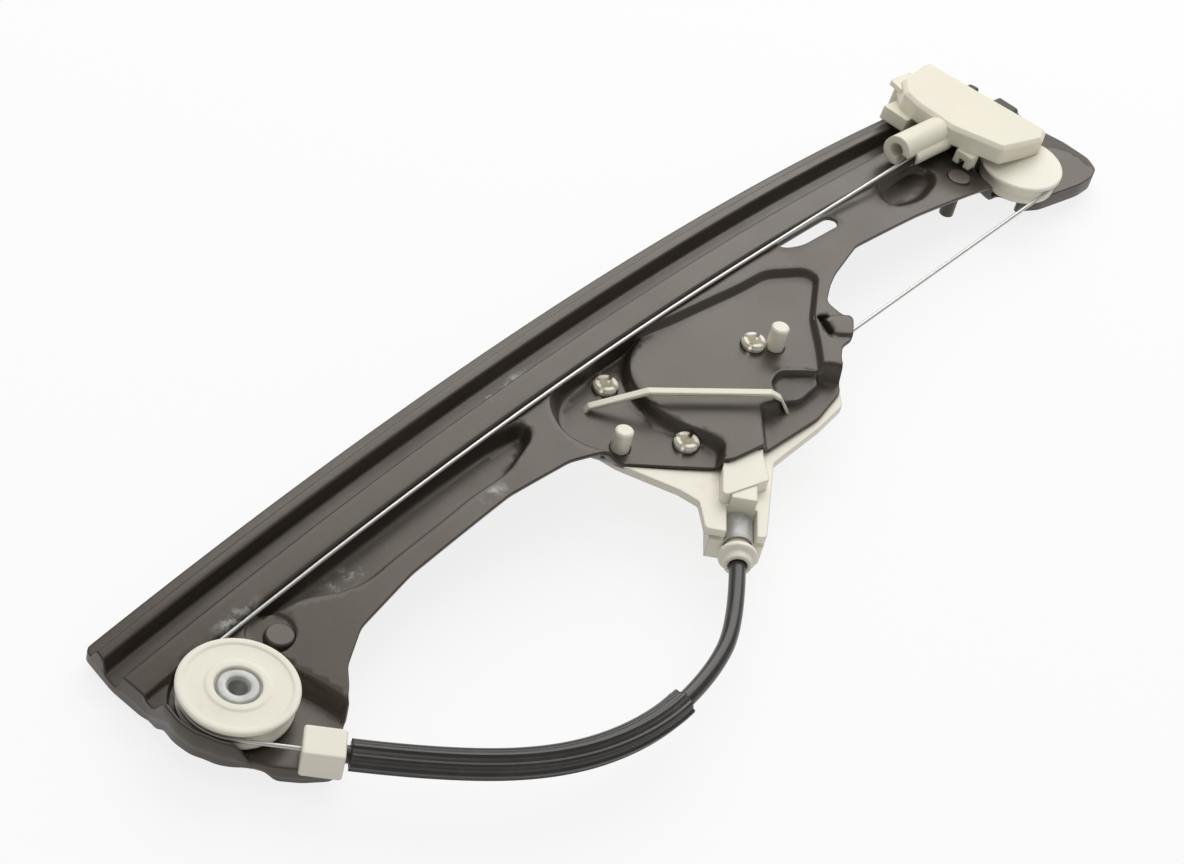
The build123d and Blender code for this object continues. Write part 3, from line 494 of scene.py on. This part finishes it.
def sheet_height(x, y, regions):
    """Height of the sheet's upper side from the crown: the rail's rounded section, and from it towards each
    region's level as a smooth step of the distance to that region's line."""
    line = rounded_profile(SECTION, BEND_R, 6)
    rail = np.interp(y, line[:, 0], line[:, 1])
    high = rail.copy()
    near = np.zeros_like(high)
    beside = 1 - ease((y - 27.0) / 0.9)
    for loop, level, flat, run in regions:
        share = ease(depth_in(loop, x, y) / run + 1)
        if flat:
            near = np.maximum(near, share)
        else:
            share = share * beside
            high = high + (level - high) * share
    seat = LOWER_SEAT + drop(x)
    return high + (seat - high) * near


def sheet_mesh():
    """Points and triangles of the sheet's upper side: its outline, its holes and rings of points along every
    bend are kept as edges of one triangulation, and a grid fills the open areas."""
    regions = sheet_regions()
    outline = soft_loop(OUTLINE, 2.2, 1.4)
    holes = [soft_loop(OVAL, 4)]
    holes += [circle(c, PEG_HOLE_R, 1.2) for c in PEGS] + [circle(c, PIN_HOLE_R, 1.2) for c in PINS]
    holes += [circle(c, MOUNT_HOLE_R, 1.2) for c in STUDS + [LOWER_C, UPPER_C]]
    points, edges = [], []

    def keep(line, closed=True):
        first = sum(len(p) for p in points)
        index = np.arange(len(line)) + first
        pair = np.stack([index, np.roll(index, -1)], axis=1)
        points.append(line)
        edges.append(pair if closed else pair[:-1])

    keep(outline)
    for line in holes:
        keep(line)
        keep(widened(line, 0.8))
        keep(widened(line, 2.0))
    for line, _, _, run in regions:
        for share in (0, 0.16, 0.36, 0.64, 0.84, 1.0):
            ring = widened(line, share * run)
            inside = depth_in(outline, ring[:, 0], ring[:, 1]) > 0.7
            index = np.arange(len(ring)) + sum(len(p) for p in points)
            pair = np.stack([index, np.roll(index, -1)], axis=1)
            points.append(ring)
            edges.append(pair[inside & np.roll(inside, -1)])
    xs = np.arange(*RAIL_ENDS, 2.5)
    for y in rounded_profile(SECTION, BEND_R, 4)[1:-1, 0]:
        keep(np.stack([xs, np.full_like(xs, y)], axis=1), closed=False)
    keep(widened(outline, -0.5))
    keep(widened(outline, -1.6))
    step = sizes().grid / MM
    gx, gy = np.meshgrid(np.arange(-250, 278, step), np.arange(-40, 60, step * 0.86))
    gx = gx + (np.arange(gx.shape[0]) % 2)[:, None] * step / 2
    fill = np.stack([gx.ravel(), gy.ravel()], axis=1)
    fixed = np.vstack(points)
    gap = np.full(len(fill), 9.0)
    for block in np.array_split(fixed, max(1, len(fixed) // 400)):
        gap = np.minimum(gap, np.linalg.norm(fill[:, None] - block[None], axis=2).min(axis=1))
    fill = fill[(gap > step * 0.45) & (depth_in(outline, fill[:, 0], fill[:, 1]) > 1.0)]
    flat = np.vstack([fixed, fill])
    result = delaunay_2d_cdt(flat.tolist(), np.vstack(edges).tolist(), [], 0, 1e-4, False)
    flat = np.array([(v[0], v[1]) for v in result[0]])
    faces = np.array(result[2])
    middle = flat[faces].mean(axis=1)
    keep_face = depth_in(outline, middle[:, 0], middle[:, 1]) > 0
    for line in holes:
        keep_face &= depth_in(line, middle[:, 0], middle[:, 1]) < 0
    faces = faces[keep_face]
    used, faces = np.unique(faces, return_inverse=True)
    flat = flat[used]
    high = sheet_height(flat[:, 0], flat[:, 1], regions)
    window = -depth_in(soft_loop(WINDOW, 2.5, 1.0), flat[:, 0], flat[:, 1]) - 1.2
    oval = -depth_in(holes[0], flat[:, 0], flat[:, 1])
    high = high + 0.9 * np.exp(-(window / 1.3) ** 2) + 0.5 * np.exp(-(oval / 1.4) ** 2)
    top = np.column_stack([flat, high - drop(flat[:, 0]) + LIFT])
    return top, faces.reshape(-1, 3), outline, regions


def skirt_edge(x, y):
    """Height of the skirts' lower edge: deeper under the rail's lower end and shallower beside the pulley."""
    rail_end = ease((y - 22) / 8) * ease((-228 - x) / 6)
    beside = ease((-231 - x) / 5) * ease((22 - y) / 6) * ease((y + 20) / 5)
    return SKIRT_Z - 2.2 * rail_end + 3.8 * beside


def seat_rim(outline):
    """The rim that nests the lower pulley: a wall of the sheet's thickness along the outline. Its top rises
    as a smooth step at both ends, and its section is a closed loop with a rounded top at each point."""
    inner = widened(outline, -SHEET)
    outer = widened(outline, 0.15)
    near = np.flatnonzero((outline[:, 0] < -234) & (outline[:, 1] > -12.5) & (outline[:, 1] < 25))
    start = near[np.flatnonzero(np.diff(near, prepend=near[0] - 2) > 1)[-1]]
    index = (start + np.arange(len(near))) % len(outline)
    a, b = outer[index], inner[index]
    y = outline[index, 1]
    rise = ease((25 - y) / 7) * ease((y + 12.5) / 6)
    top = LOWER_SEAT - 0.6 + (RIM_Z - LOWER_SEAT + 0.6) * rise
    low = skirt_edge(outline[index, 0], y)
    across = np.array([0.0, 0.0, 0.0, 0.12, 0.35, 0.65, 0.88, 1.0, 1.0])[:, None]
    below = np.array([1.0, 0.5, 0.06, 0.02, 0.0, 0.0, 0.02, 0.06, 1.0])[:, None]
    x = a[None, :, 0] + (b - a)[None, :, 0] * across
    side = a[None, :, 1] + (b - a)[None, :, 1] * across
    z = top[None] + (low - top)[None] * below + LIFT
    return np.stack([x, side, z], axis=-1)


def skirt_rows(outline):
    """The stretches of the outline whose edge is turned down, at the sheet's two ends."""
    rows = []
    low = (outline[:, 0] < -228) | ((outline[:, 0] < -206) & (outline[:, 1] < -20))
    high = (outline[:, 0] > 214) & (outline[:, 1] < 20)
    for mask in (low, high):
        start = np.flatnonzero(mask & ~np.roll(mask, 1))
        for first in start:
            length = 0
            while mask[(first + length) % len(mask)]:
                length += 1
            index = (first + np.arange(length)) % len(mask)
            rows.append(outline[index])
    return rows


# ---------------------------------------------------------------- finishes
def ecoat_finish():
    """Dipped black coat: a brown-black base, paler dust in broad clouds, specks, smears of grease, and a
    painted shade that turns the window pocket's floor near black in place of a dark opening.
    """
    f = Finish("coated_steel")
    base = tone(finishes().ecoat)
    cloud = f.noise(14.0, 5.0, 0.6).step(0.35, 0.72)
    speck = f.noise(420.0, 3.0, 0.7).step(0.66, 0.78)
    colour = f.mix(cloud * 0.55, base, shade(base, 1.55))
    colour = f.mix(speck * 0.35, colour, (0.20, 0.18, 0.15))
    smears = None
    for centre, reach in GREASE_SPOTS:
        patch = f.spot(tuple(c * MM for c in centre), tuple(r * MM for r in reach), 0.75)
        smears = patch if smears is None else smears.math("MAXIMUM", smears, patch)
    streak = f.noise(120.0, 6.0, 0.72).step(0.47, 0.66)
    smear = smears * streak
    colour = f.mix(smear * 0.8, colour, tone(finishes().grease))
    # painted shade: a near-black spot on the window pocket's floor stands in for the dark opening under the
    # sheet
    painted_shade_window = f.spot((26.5 * MM, -25.0 * MM, (LIFT - 6.2) * MM), (15 * MM, 9 * MM, 2.6 * MM), 0.25)
    colour = f.mix(painted_shade_window, colour, (0.004, 0.004, 0.003))
    grain = f.noise(900.0, 2.0, 0.5)
    f.relief(grain + f.noise(60.0, 2.0, 0.5) * 2.0 + smear * 3.0, 0.10, 0.3 * MM, 0.5 * MM)
    rough = f.noise(40.0, 4.0, 0.6) * 0.16 + cloud * 0.10 + 0.24 - smear * 0.08
    f.shader.inputs["Coat Weight"].default_value = 0.08
    f.shader.inputs["Coat Roughness"].default_value = 0.22
    f.shader.inputs["Specular IOR Level"].default_value = 0.62
    f.shader.inputs["Specular Tint"].default_value = (1.0, 0.90, 0.79, 1.0)
    return f.set(Base_Color=colour, Roughness=rough)


GREASE_SPOTS = [((-165, 20, 10), (16, 6, 12)), ((-104, 8, 18), (9, 4, 12)), ((-205, 30, 8), (14, 4, 12)),
                ((-60, 43, 14), (22, 4, 12))]


def acetal_finish(name, colour):
    """Moulded acetal: a waxy ivory with faint clouding, greyed where it is handled, and a fine grain."""
    f = Finish(name)
    cloud = f.noise(38.0, 4.0, 0.55).step(0.3, 0.75)
    dirt = f.noise(95.0, 6.0, 0.68).step(0.60, 0.80)
    tint = f.mix(cloud * 0.5, colour, shade(colour, 0.93))
    tint = f.mix(dirt * 0.28, tint, (0.50, 0.44, 0.33))
    grain = f.noise(1300.0, 2.0, 0.5) + f.noise(70.0, 2.0, 0.5) * 2.0
    f.relief(grain, 0.08, 0.25 * MM, sizes().edge)
    rough = f.noise(60.0, 3.0, 0.5) * 0.16 + 0.34 + dirt * 0.12
    f.shader.inputs["Subsurface Weight"].default_value = 0.18
    f.shader.inputs["Subsurface Radius"].default_value = (1.2, 1.0, 0.7)
    f.shader.inputs["Subsurface Scale"].default_value = 1.4 * MM
    f.shader.inputs["Specular IOR Level"].default_value = 0.45
    return f.set(Base_Color=tint, Roughness=rough)


def zinc_finish():
    """Plated steel: bright grey metal with a cloudy passivation and fine scratches."""
    f = Finish("zinc_plate")
    cloud = f.noise(180.0, 4.0, 0.6)
    scratch = f.noise(60.0, 3.0, 0.6, f.place(scale=(1.0, 14.0, 14.0), turn=(0.0, 0.0, 0.6)))
    colour = f.mix(cloud.step(0.35, 0.7), shade(finishes().zinc, 0.82), shade(finishes().zinc, 1.12))
    f.relief(scratch + cloud, 0.12, 0.1 * MM, 0.25 * MM)
    return f.set(Base_Color=colour, Roughness=cloud * 0.2 + 0.42, Metallic=0.55)


def rope_finish():
    """Steel rope: grey wires whose lay shows as slanting bands along the run."""
    f = Finish("wire_rope")
    lay = f.node("TexWave", {"bands_direction": "X", "wave_profile": "SIN"},
                 Vector=f.place(turn=(0.0, 0.0, 0.9)), Scale=260.0, Distortion=0.0)
    colour = f.mix(lay.step(0.15, 0.7), (0.05, 0.047, 0.042), (0.24, 0.222, 0.20))
    f.relief(lay, 0.5, 0.2 * MM)
    return f.set(Base_Color=colour, Roughness=0.55 + f.noise(300.0) * 0.1, Metallic=0.25)


def rubber_finish(name, colour, gloss):
    """Black rubber: satin with dust in the grooves and a fine die grain along the run."""
    f = Finish(name)
    dust = f.noise(70.0, 5.0, 0.65).step(0.45, 0.8)
    tint = f.mix(dust * 0.5, colour, (0.075, 0.066, 0.055))
    f.relief(f.noise(500.0, 3.0, 0.5), 0.12, 0.2 * MM, 0.2 * MM)
    f.shader.inputs["Coat Weight"].default_value = 0.15
    return f.set(Base_Color=tint, Roughness=dust * 0.14 + gloss)


def spring_finish():
    """Spring wire: dark oiled steel with a blue-grey cast."""
    f = Finish("spring_wire")
    stain = f.noise(240.0, 4.0, 0.6).step(0.35, 0.75)
    colour = f.mix(stain, (0.26, 0.26, 0.27), (0.42, 0.40, 0.37))
    f.relief(stain, 0.1, 0.1 * MM)
    return f.set(Base_Color=colour, Roughness=stain * 0.15 + 0.28, Metallic=0.95)


def finish(name):
    """The material of a name, made once."""
    made = bpy.data.materials.get(name)
    if made:
        return made
    makers = {
        "coated_steel": ecoat_finish,
        "ivory_acetal": lambda: acetal_finish("ivory_acetal", tone(finishes().ivory)),
        "cream_acetal": lambda: acetal_finish("cream_acetal", tone(finishes().cream)),
        "zinc_plate": zinc_finish,
        "wire_rope": rope_finish,
        "black_rubber": lambda: rubber_finish("black_rubber", tone(finishes().rubber), 0.30),
        "liner_rubber": lambda: rubber_finish("liner_rubber", shade(finishes().rubber, 1.6), 0.55),
        "spring_wire": spring_finish,
    }
    return makers[name]()


def dress(node, material):
    """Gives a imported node's own object its finish."""
    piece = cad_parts[node]
    piece.data.materials.clear()
    piece.data.materials.append(finish(material))


# ---------------------------------------------------------------- pieces
def on_out(s, n=0.0, z=ROUTE_Z):
    """A point s along the rope that leaves the drum and n to its left, mm."""
    c, k = math.cos(OUT_ANGLE), math.sin(OUT_ANGLE)
    return (OUT_T[0] + s * c - n * k, OUT_T[1] + s * k + n * c, z)


OUT_WAY = (math.cos(OUT_ANGLE), math.sin(OUT_ANGLE), 0.0)


class PlateOperator(bpy.types.Operator):
    """The pressed rail plate: one sheet with its curved rail, pockets, seats and turned-down ends"""

    bl_idname = "regulator.plate"
    bl_label = "Rail plate"

    def execute(self, context):
        top, faces, outline, regions = sheet_mesh()
        points, parts = [top], [faces]
        for line in skirt_rows(outline):
            start = sheet_height(line[:, 0], line[:, 1], regions) - drop(line[:, 0])
            share = np.array([0.0, 0.08, 0.2, 0.6, 1.0])[:, None]
            low = skirt_edge(line[:, 0], line[:, 1])[None]
            z = start[None] + (low - start[None]) * share + LIFT
            x, y = (np.broadcast_to(line[:, i], z.shape) for i in (0, 1))
            rows = np.stack([x, y, z], axis=-1)
            quads = grid_faces(len(share), len(line), wrap_columns=False)
            first = sum(len(p) for p in points)
            points.append(rows.reshape(-1, 3))
            parts.append(np.vstack([quads[:, [0, 1, 2]], quads[:, [0, 2, 3]]]) + first)
        coat = finish("coated_steel")
        piece = new_piece("pressed_rail_plate", np.vstack(points), np.vstack(parts), coat, "plate")
        up = np.array([p.normal.z for p in piece.data.polygons]).mean()
        if up < 0:
            piece.data.flip_normals()
        solid = piece.modifiers.new("thickness", "SOLIDIFY")
        solid.thickness = SHEET * MM
        solid.offset = -1.0
        solid.use_even_offset = False
        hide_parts("rail_plate")
        band = seat_rim(outline)
        loops = grid_faces(*band.shape[:2], wrap_rows=True, wrap_columns=False)
        rim = new_piece("pulley_seat_rim", band.reshape(-1, 3), loops, coat, "plate")
        dress("mounting_studs", "coated_steel")
        return {"FINISHED"}


class PulleyOperator(bpy.types.Operator):
    """Both rope pulleys with their rims, grooves, rivets and washers"""

    bl_idname = "regulator.pulleys"
    bl_label = "Pulleys"

    def execute(self, context):
        z1 = LOWER_PULLEY_Z + PULLEY_HALF + LIFT
        z0 = z1 - 2 * PULLEY_HALF
        profile = [(5.05, z0), (19.3, z0), (19.5, z0 + 1.4), (18.25, z0 + 3.3), (18.25, z0 + 5.6),
                   (19.6, z1 - 1.9), (20.3, z1 - 1.5), (20.3, z1 - 0.3), (19.6, z1), (17.9, z1),
                   (17.5, z1 - 0.35), (11.0, z1 - 0.35), (10.4, z1), (7.9, z1), (7.7, z1 - 1.7),
                   (5.05, z1 - 1.7), (5.05, z0)]
        piece = turned("lower_rope_pulley", profile, finish("ivory_acetal"), "lower_wheel", (*LOWER_C, 0.0))
        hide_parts("lower_pulley")
        head = [(3.2, z0 - 1.2), (3.2, z1 - 1.4), (4.1, z1 - 0.35), (5.2, z1 - 0.2), (6.7, z1 - 0.3),
                (7.2, z1 - 0.8), (7.2, z1 - 1.3), (5.0, z1 - 1.3), (5.0, z0 - 4.2), (0.0, z0 - 4.2),
                (0.0, z0 - 1.2), (3.2, z0 - 1.2)]
        rivet = turned("lower_pulley_rivet_head", head, finish("zinc_plate"), "plate", (*LOWER_C, 0.0),
                       radius=0.3)
        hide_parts("lower_pulley_rivet")
        z1 = UPPER_PULLEY_Z + PULLEY_HALF + LIFT
        z0 = z1 - 2 * PULLEY_HALF
        profile = [(5.05, z0), (15.9, z0), (16.1, z0 + 1.4), (14.95, z0 + 3.3), (14.95, z0 + 5.6),
                   (16.8, z1 - 1.9), (17.5, z1 - 1.5), (17.5, z1 - 0.3), (16.9, z1), (0.0, z1),
                   (0.0, z1 - 2.0), (5.05, z1 - 2.0), (5.05, z0)]
        piece = turned("upper_rope_pulley", profile, finish("ivory_acetal"), "upper_wheel", (*UPPER_C, 0.0))
        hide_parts("upper_pulley")
        dress("upper_pulley_axle", "zinc_plate")
        dress("pulley_washers", "zinc_plate")
        return {"FINISHED"}


class DrumOperator(bpy.types.Operator):
    """The cable drum with its windings, its moulded housing and the strap over the cover"""

    bl_idname = "regulator.drum"
    bl_label = "Drum and housing"

    def execute(self, context):
        dress("cable_drum", "ivory_acetal")
        dress("drum_windings", "wire_rope")
        dress("drum_housing", "ivory_acetal")
        dress("drum_retaining_strap", "cream_acetal")
        return {"FINISHED"}


class TensionerOperator(bpy.types.Operator):
    """The cable tensioner: plated cup, flanged cap and spring"""

    bl_idname = "regulator.tensioner"
    bl_label = "Tensioner"

    def execute(self, context):
        cup = [(1.7, 58.0), (4.6, 58.0), (5.5, 58.9), (5.5, 69.6), (5.9, 70.3), (5.9, 71.0), (5.3, 71.0),
               (4.9, 69.8), (4.9, 59.2), (1.7, 59.0), (1.7, 58.0)]
        piece = turned("tensioner_spring_cup", cup, finish("zinc_plate"), "plate", on_out(0), OUT_WAY, 0.3)
        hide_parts("tensioner_cup")
        cap = [(1.7, 68.0), (4.5, 68.0), (4.5, 74.0), (6.9, 74.1), (7.0, 76.3), (5.2, 76.5), (5.0, 80.0),
               (3.35, 80.0), (3.35, 74.6), (1.7, 74.6), (1.7, 68.0)]
        piece = turned("tensioner_flanged_cap", cap, finish("ivory_acetal"), "cap", on_out(0), OUT_WAY, 0.5)
        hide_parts("tensioner_cap")
        dress("tensioner_spring", "spring_wire")
        return {"FINISHED"}


def route_curve(name, points, radius, material, body):
    """A NURBS curve of one open spline whose control points are the route's own, with a round bevel."""
    curve = bpy.data.curves.new(name, "CURVE")
    curve.dimensions = "3D"
    spline = curve.splines.new("NURBS")
    spline.points.add(len(points) - 1)
    count = len(points)
    flat = np.column_stack([np.asarray(points) * MM, np.full(count, ROUTE_Z * MM), np.ones(count)])
    spline.points.foreach_set("co", flat.ravel())
    spline.order_u = 3
    spline.use_endpoint_u = True
    curve.resolution_u = 24
    curve.bevel_depth = radius * MM
    curve.bevel_resolution = 8
    curve.use_fill_caps = True
    curve.materials.append(material)
    piece = bpy.data.objects.new(name, curve)
    bpy.context.scene.collection.objects.link(piece)
    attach(piece, body)
    return piece


def route_line(piece):
    """Points along a route's own spline, in millimetres, read from the curve with no bevel."""
    plain = piece.copy()
    plain.data = piece.data.copy()
    plain.data.bevel_depth = 0.0
    bpy.context.scene.collection.objects.link(plain)
    bpy.context.view_layer.update()
    mesh = bpy.data.meshes.new_from_object(plain.evaluated_get(bpy.context.evaluated_depsgraph_get()))
    line = np.empty(len(mesh.vertices) * 3)
    mesh.vertices.foreach_get("co", line)
    bpy.data.meshes.remove(mesh)
    bpy.data.objects.remove(plain)
    return line.reshape(-1, 3) / MM


class ConduitOperator(bpy.types.Operator):
    """The rope's conduit, its ribbed rubber sleeve and the block that ends it"""

    bl_idname = "regulator.conduit"
    bl_label = "Conduit"

    def execute(self, context):
        conduit = route_curve("rope_conduit", CONDUIT_ROUTE, CONDUIT_R, finish("black_rubber"), "plate")
        line = route_line(conduit)
        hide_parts("conduit")
        run = np.concatenate([[0], np.cumsum(np.linalg.norm(np.diff(line, axis=0), axis=1))])
        s = np.linspace(*SLEEVE_RUN, 160)
        path = np.stack([np.interp(s, run, line[:, i]) for i in range(3)], axis=1)
        t = np.linspace(0, 2 * math.pi, 128, endpoint=False)
        size = sizes()
        r = size.sleeve_r / MM + size.rib / MM * np.clip(np.cos(SLEEVE_RIBS * t) * 1.6 - 0.1, 0, 1)
        section = np.stack([r * np.cos(t), r * np.sin(t)], axis=1)
        inner = SLEEVE_BORE_R * np.stack([np.cos(t), np.sin(t)], axis=1)
        sleeve = tube("ribbed_sleeve", path, section, finish("black_rubber"), "plate", inner)
        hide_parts("conduit_sleeve")
        dress("conduit_end_block", "ivory_acetal")
        dress("conduit_cable", "wire_rope")
        return {"FINISHED"}


class RopeOperator(bpy.types.Operator):
    """The steel rope's open runs"""

    bl_idname = "regulator.ropes"
    bl_label = "Steel rope"

    def execute(self, context):
        for node in ("rail_cable", "upper_cable", "drum_side_cable"):
            dress(node, "wire_rope")
        return {"FINISHED"}


class CarrierOperator(bpy.types.Operator):
    """The glass carrier with its liner, shoes and rope ends"""

    bl_idname = "regulator.carrier"
    bl_label = "Glass carrier"

    def execute(self, context):
        dress("carrier_body", "cream_acetal")
        dress("glass_liner", "liner_rubber")
        dress("slider_shoe", "cream_acetal")
        dress("channel_shoe", "cream_acetal")
        dress("cable_nipples", "zinc_plate")
        return {"FINISHED"}


# ---------------------------------------------------------------- stage
def aim(lamp, place, target):
    """Puts a lamp at a place, facing a target."""
    ahead = np.asarray(target, float) - np.asarray(place, float)
    ahead /= np.linalg.norm(ahead)
    side = np.cross(ahead, (0.0, 0.0, 1.0))
    side /= np.linalg.norm(side)
    up = np.cross(side, ahead)
    m = Matrix(np.column_stack([side, up, -ahead]).tolist()).to_4x4()
    m.translation = place
    lamp.matrix_world = m


class StageOperator(bpy.types.Operator):
    """A pale floor, soft lamps and the camera"""

    bl_idname = "regulator.stage"
    bl_label = "Stage"

    def execute(self, context):
        scene = context.scene
        set_up = scene.regulator_stage
        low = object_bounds()[0][2] - FLOOR_GAP
        floor = bpy.data.meshes.new("floor")
        side = FLOOR_HALF
        corners = [(-side, -side, low), (side, -side, low), (side, side, low), (-side, side, low)]
        floor.from_pydata(corners, [], [(0, 1, 2, 3)])
        plane = bpy.data.objects.new("floor", floor)
        scene.collection.objects.link(plane)
        f = Finish("pale_floor")
        seen = f.node("LightPath", output="Is Camera Ray")
        shine = f.node("LightPath", output="Is Glossy Ray")
        through = f.node("LightPath", output="Is Transmission Ray")
        glow = (seen + shine + through).clip()
        emit = f.tree.nodes.new("ShaderNodeEmission")
        emit.inputs["Strength"].default_value = 1.0
        matte = f.tree.nodes.new("ShaderNodeBsdfDiffuse")
        matte.inputs["Color"].default_value = (*set_up.floor, 1.0)
        both = f.tree.nodes.new("ShaderNodeMixShader")
        f.tree.links.new((glow * FLOOR_GLOW).socket, both.inputs[0])
        f.tree.links.new(matte.outputs[0], both.inputs[1])
        f.tree.links.new(emit.outputs[0], both.inputs[2])
        output = next(n for n in f.tree.nodes if n.type == "OUTPUT_MATERIAL")
        f.tree.links.new(both.outputs[0], output.inputs["Surface"])
        f.tree.nodes.remove(f.shader)
        floor.materials.append(f.material)
        plane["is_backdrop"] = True

        world = bpy.data.worlds.new("even_light")
        world.use_nodes = True
        tree = world.node_tree
        tree.nodes.clear()
        path = tree.nodes.new("ShaderNodeLightPath")
        back = tree.nodes.new("ShaderNodeBackground")
        sky = Value(tree, path.outputs["Is Camera Ray"]) * (1.0 - set_up.sky) + set_up.sky
        tree.links.new(sky.socket, back.inputs["Strength"])
        back.inputs["Color"].default_value = (1.0, 1.0, 1.0, 1.0)
        out = tree.nodes.new("ShaderNodeOutputWorld")
        tree.links.new(back.outputs[0], out.inputs["Surface"])
        scene.world = world

        lamps = [("key_lamp", (1.25, 0.70, 1.35), 2.2, 1.8, set_up.key),
                 ("top_lamp", (-0.3, 0.1, 1.9), 1.0, 1.0, set_up.fill)]
        for name, place, wide, tall, power in lamps:
            data = bpy.data.lights.new(name, "AREA")
            data.shape = "RECTANGLE"
            data.size = wide
            data.size_y = tall
            data.energy = power
            lamp = bpy.data.objects.new(name, data)
            scene.collection.objects.link(lamp)
            aim(lamp, place, (0.0, 0.0, 0.0))

        data = bpy.data.cameras.new("camera")
        data.lens = CAMERA_LENS
        data.sensor_width = 36.0
        data.sensor_fit = "HORIZONTAL"
        camera = bpy.data.objects.new("camera", data)
        scene.collection.objects.link(camera)
        axes = [CAMERA_RIGHT, CAMERA_UP, -np.array(CAMERA_AHEAD)]
        m = Matrix(np.column_stack(axes).tolist()).to_4x4()
        m.translation = CAMERA_PLACE
        camera.matrix_world = m
        scene.camera = camera
        scene.view_settings.view_transform = "Standard"
        return {"FINISHED"}


class RegulatorPanel(bpy.types.Panel):
    """Sizes, finishes and pieces of the window regulator"""

    bl_idname = "VIEW3D_PT_regulator"
    bl_label = "Window regulator"
    bl_space_type = "VIEW_3D"
    bl_region_type = "UI"
    bl_category = "Regulator"

    def draw(self, context):
        for group in (context.scene.regulator_sizes, context.scene.regulator_finishes,
                      context.scene.regulator_stage):
            for name in group.__annotations__:
                self.layout.prop(group, name)
        for operator in OPERATORS:
            self.layout.operator(operator.bl_idname)


OPERATORS = (PlateOperator, PulleyOperator, DrumOperator, TensionerOperator, ConduitOperator, RopeOperator,
             CarrierOperator, StageOperator)
GROUPS = (("regulator_sizes", RegulatorSizes), ("regulator_finishes", RegulatorFinishes),
          ("regulator_stage", RegulatorStage))


def register():
    for name, group in GROUPS:
        bpy.utils.register_class(group)
        setattr(bpy.types.Scene, name, bpy.props.PointerProperty(type=group))
    for item in (*OPERATORS, RegulatorPanel):
        bpy.utils.register_class(item)


def unregister():
    for item in reversed((*OPERATORS, RegulatorPanel)):
        bpy.utils.unregister_class(item)
    for name, group in reversed(GROUPS):
        delattr(bpy.types.Scene, name)
        bpy.utils.unregister_class(group)


def main():
    register()
    for operator in OPERATORS:
        family, name = operator.bl_idname.split(".")
        done = getattr(getattr(bpy.ops, family), name)()
        if "FINISHED" not in done:
            raise RuntimeError(operator.bl_label + " did not finish")


if __name__ == "__main__":
    main()
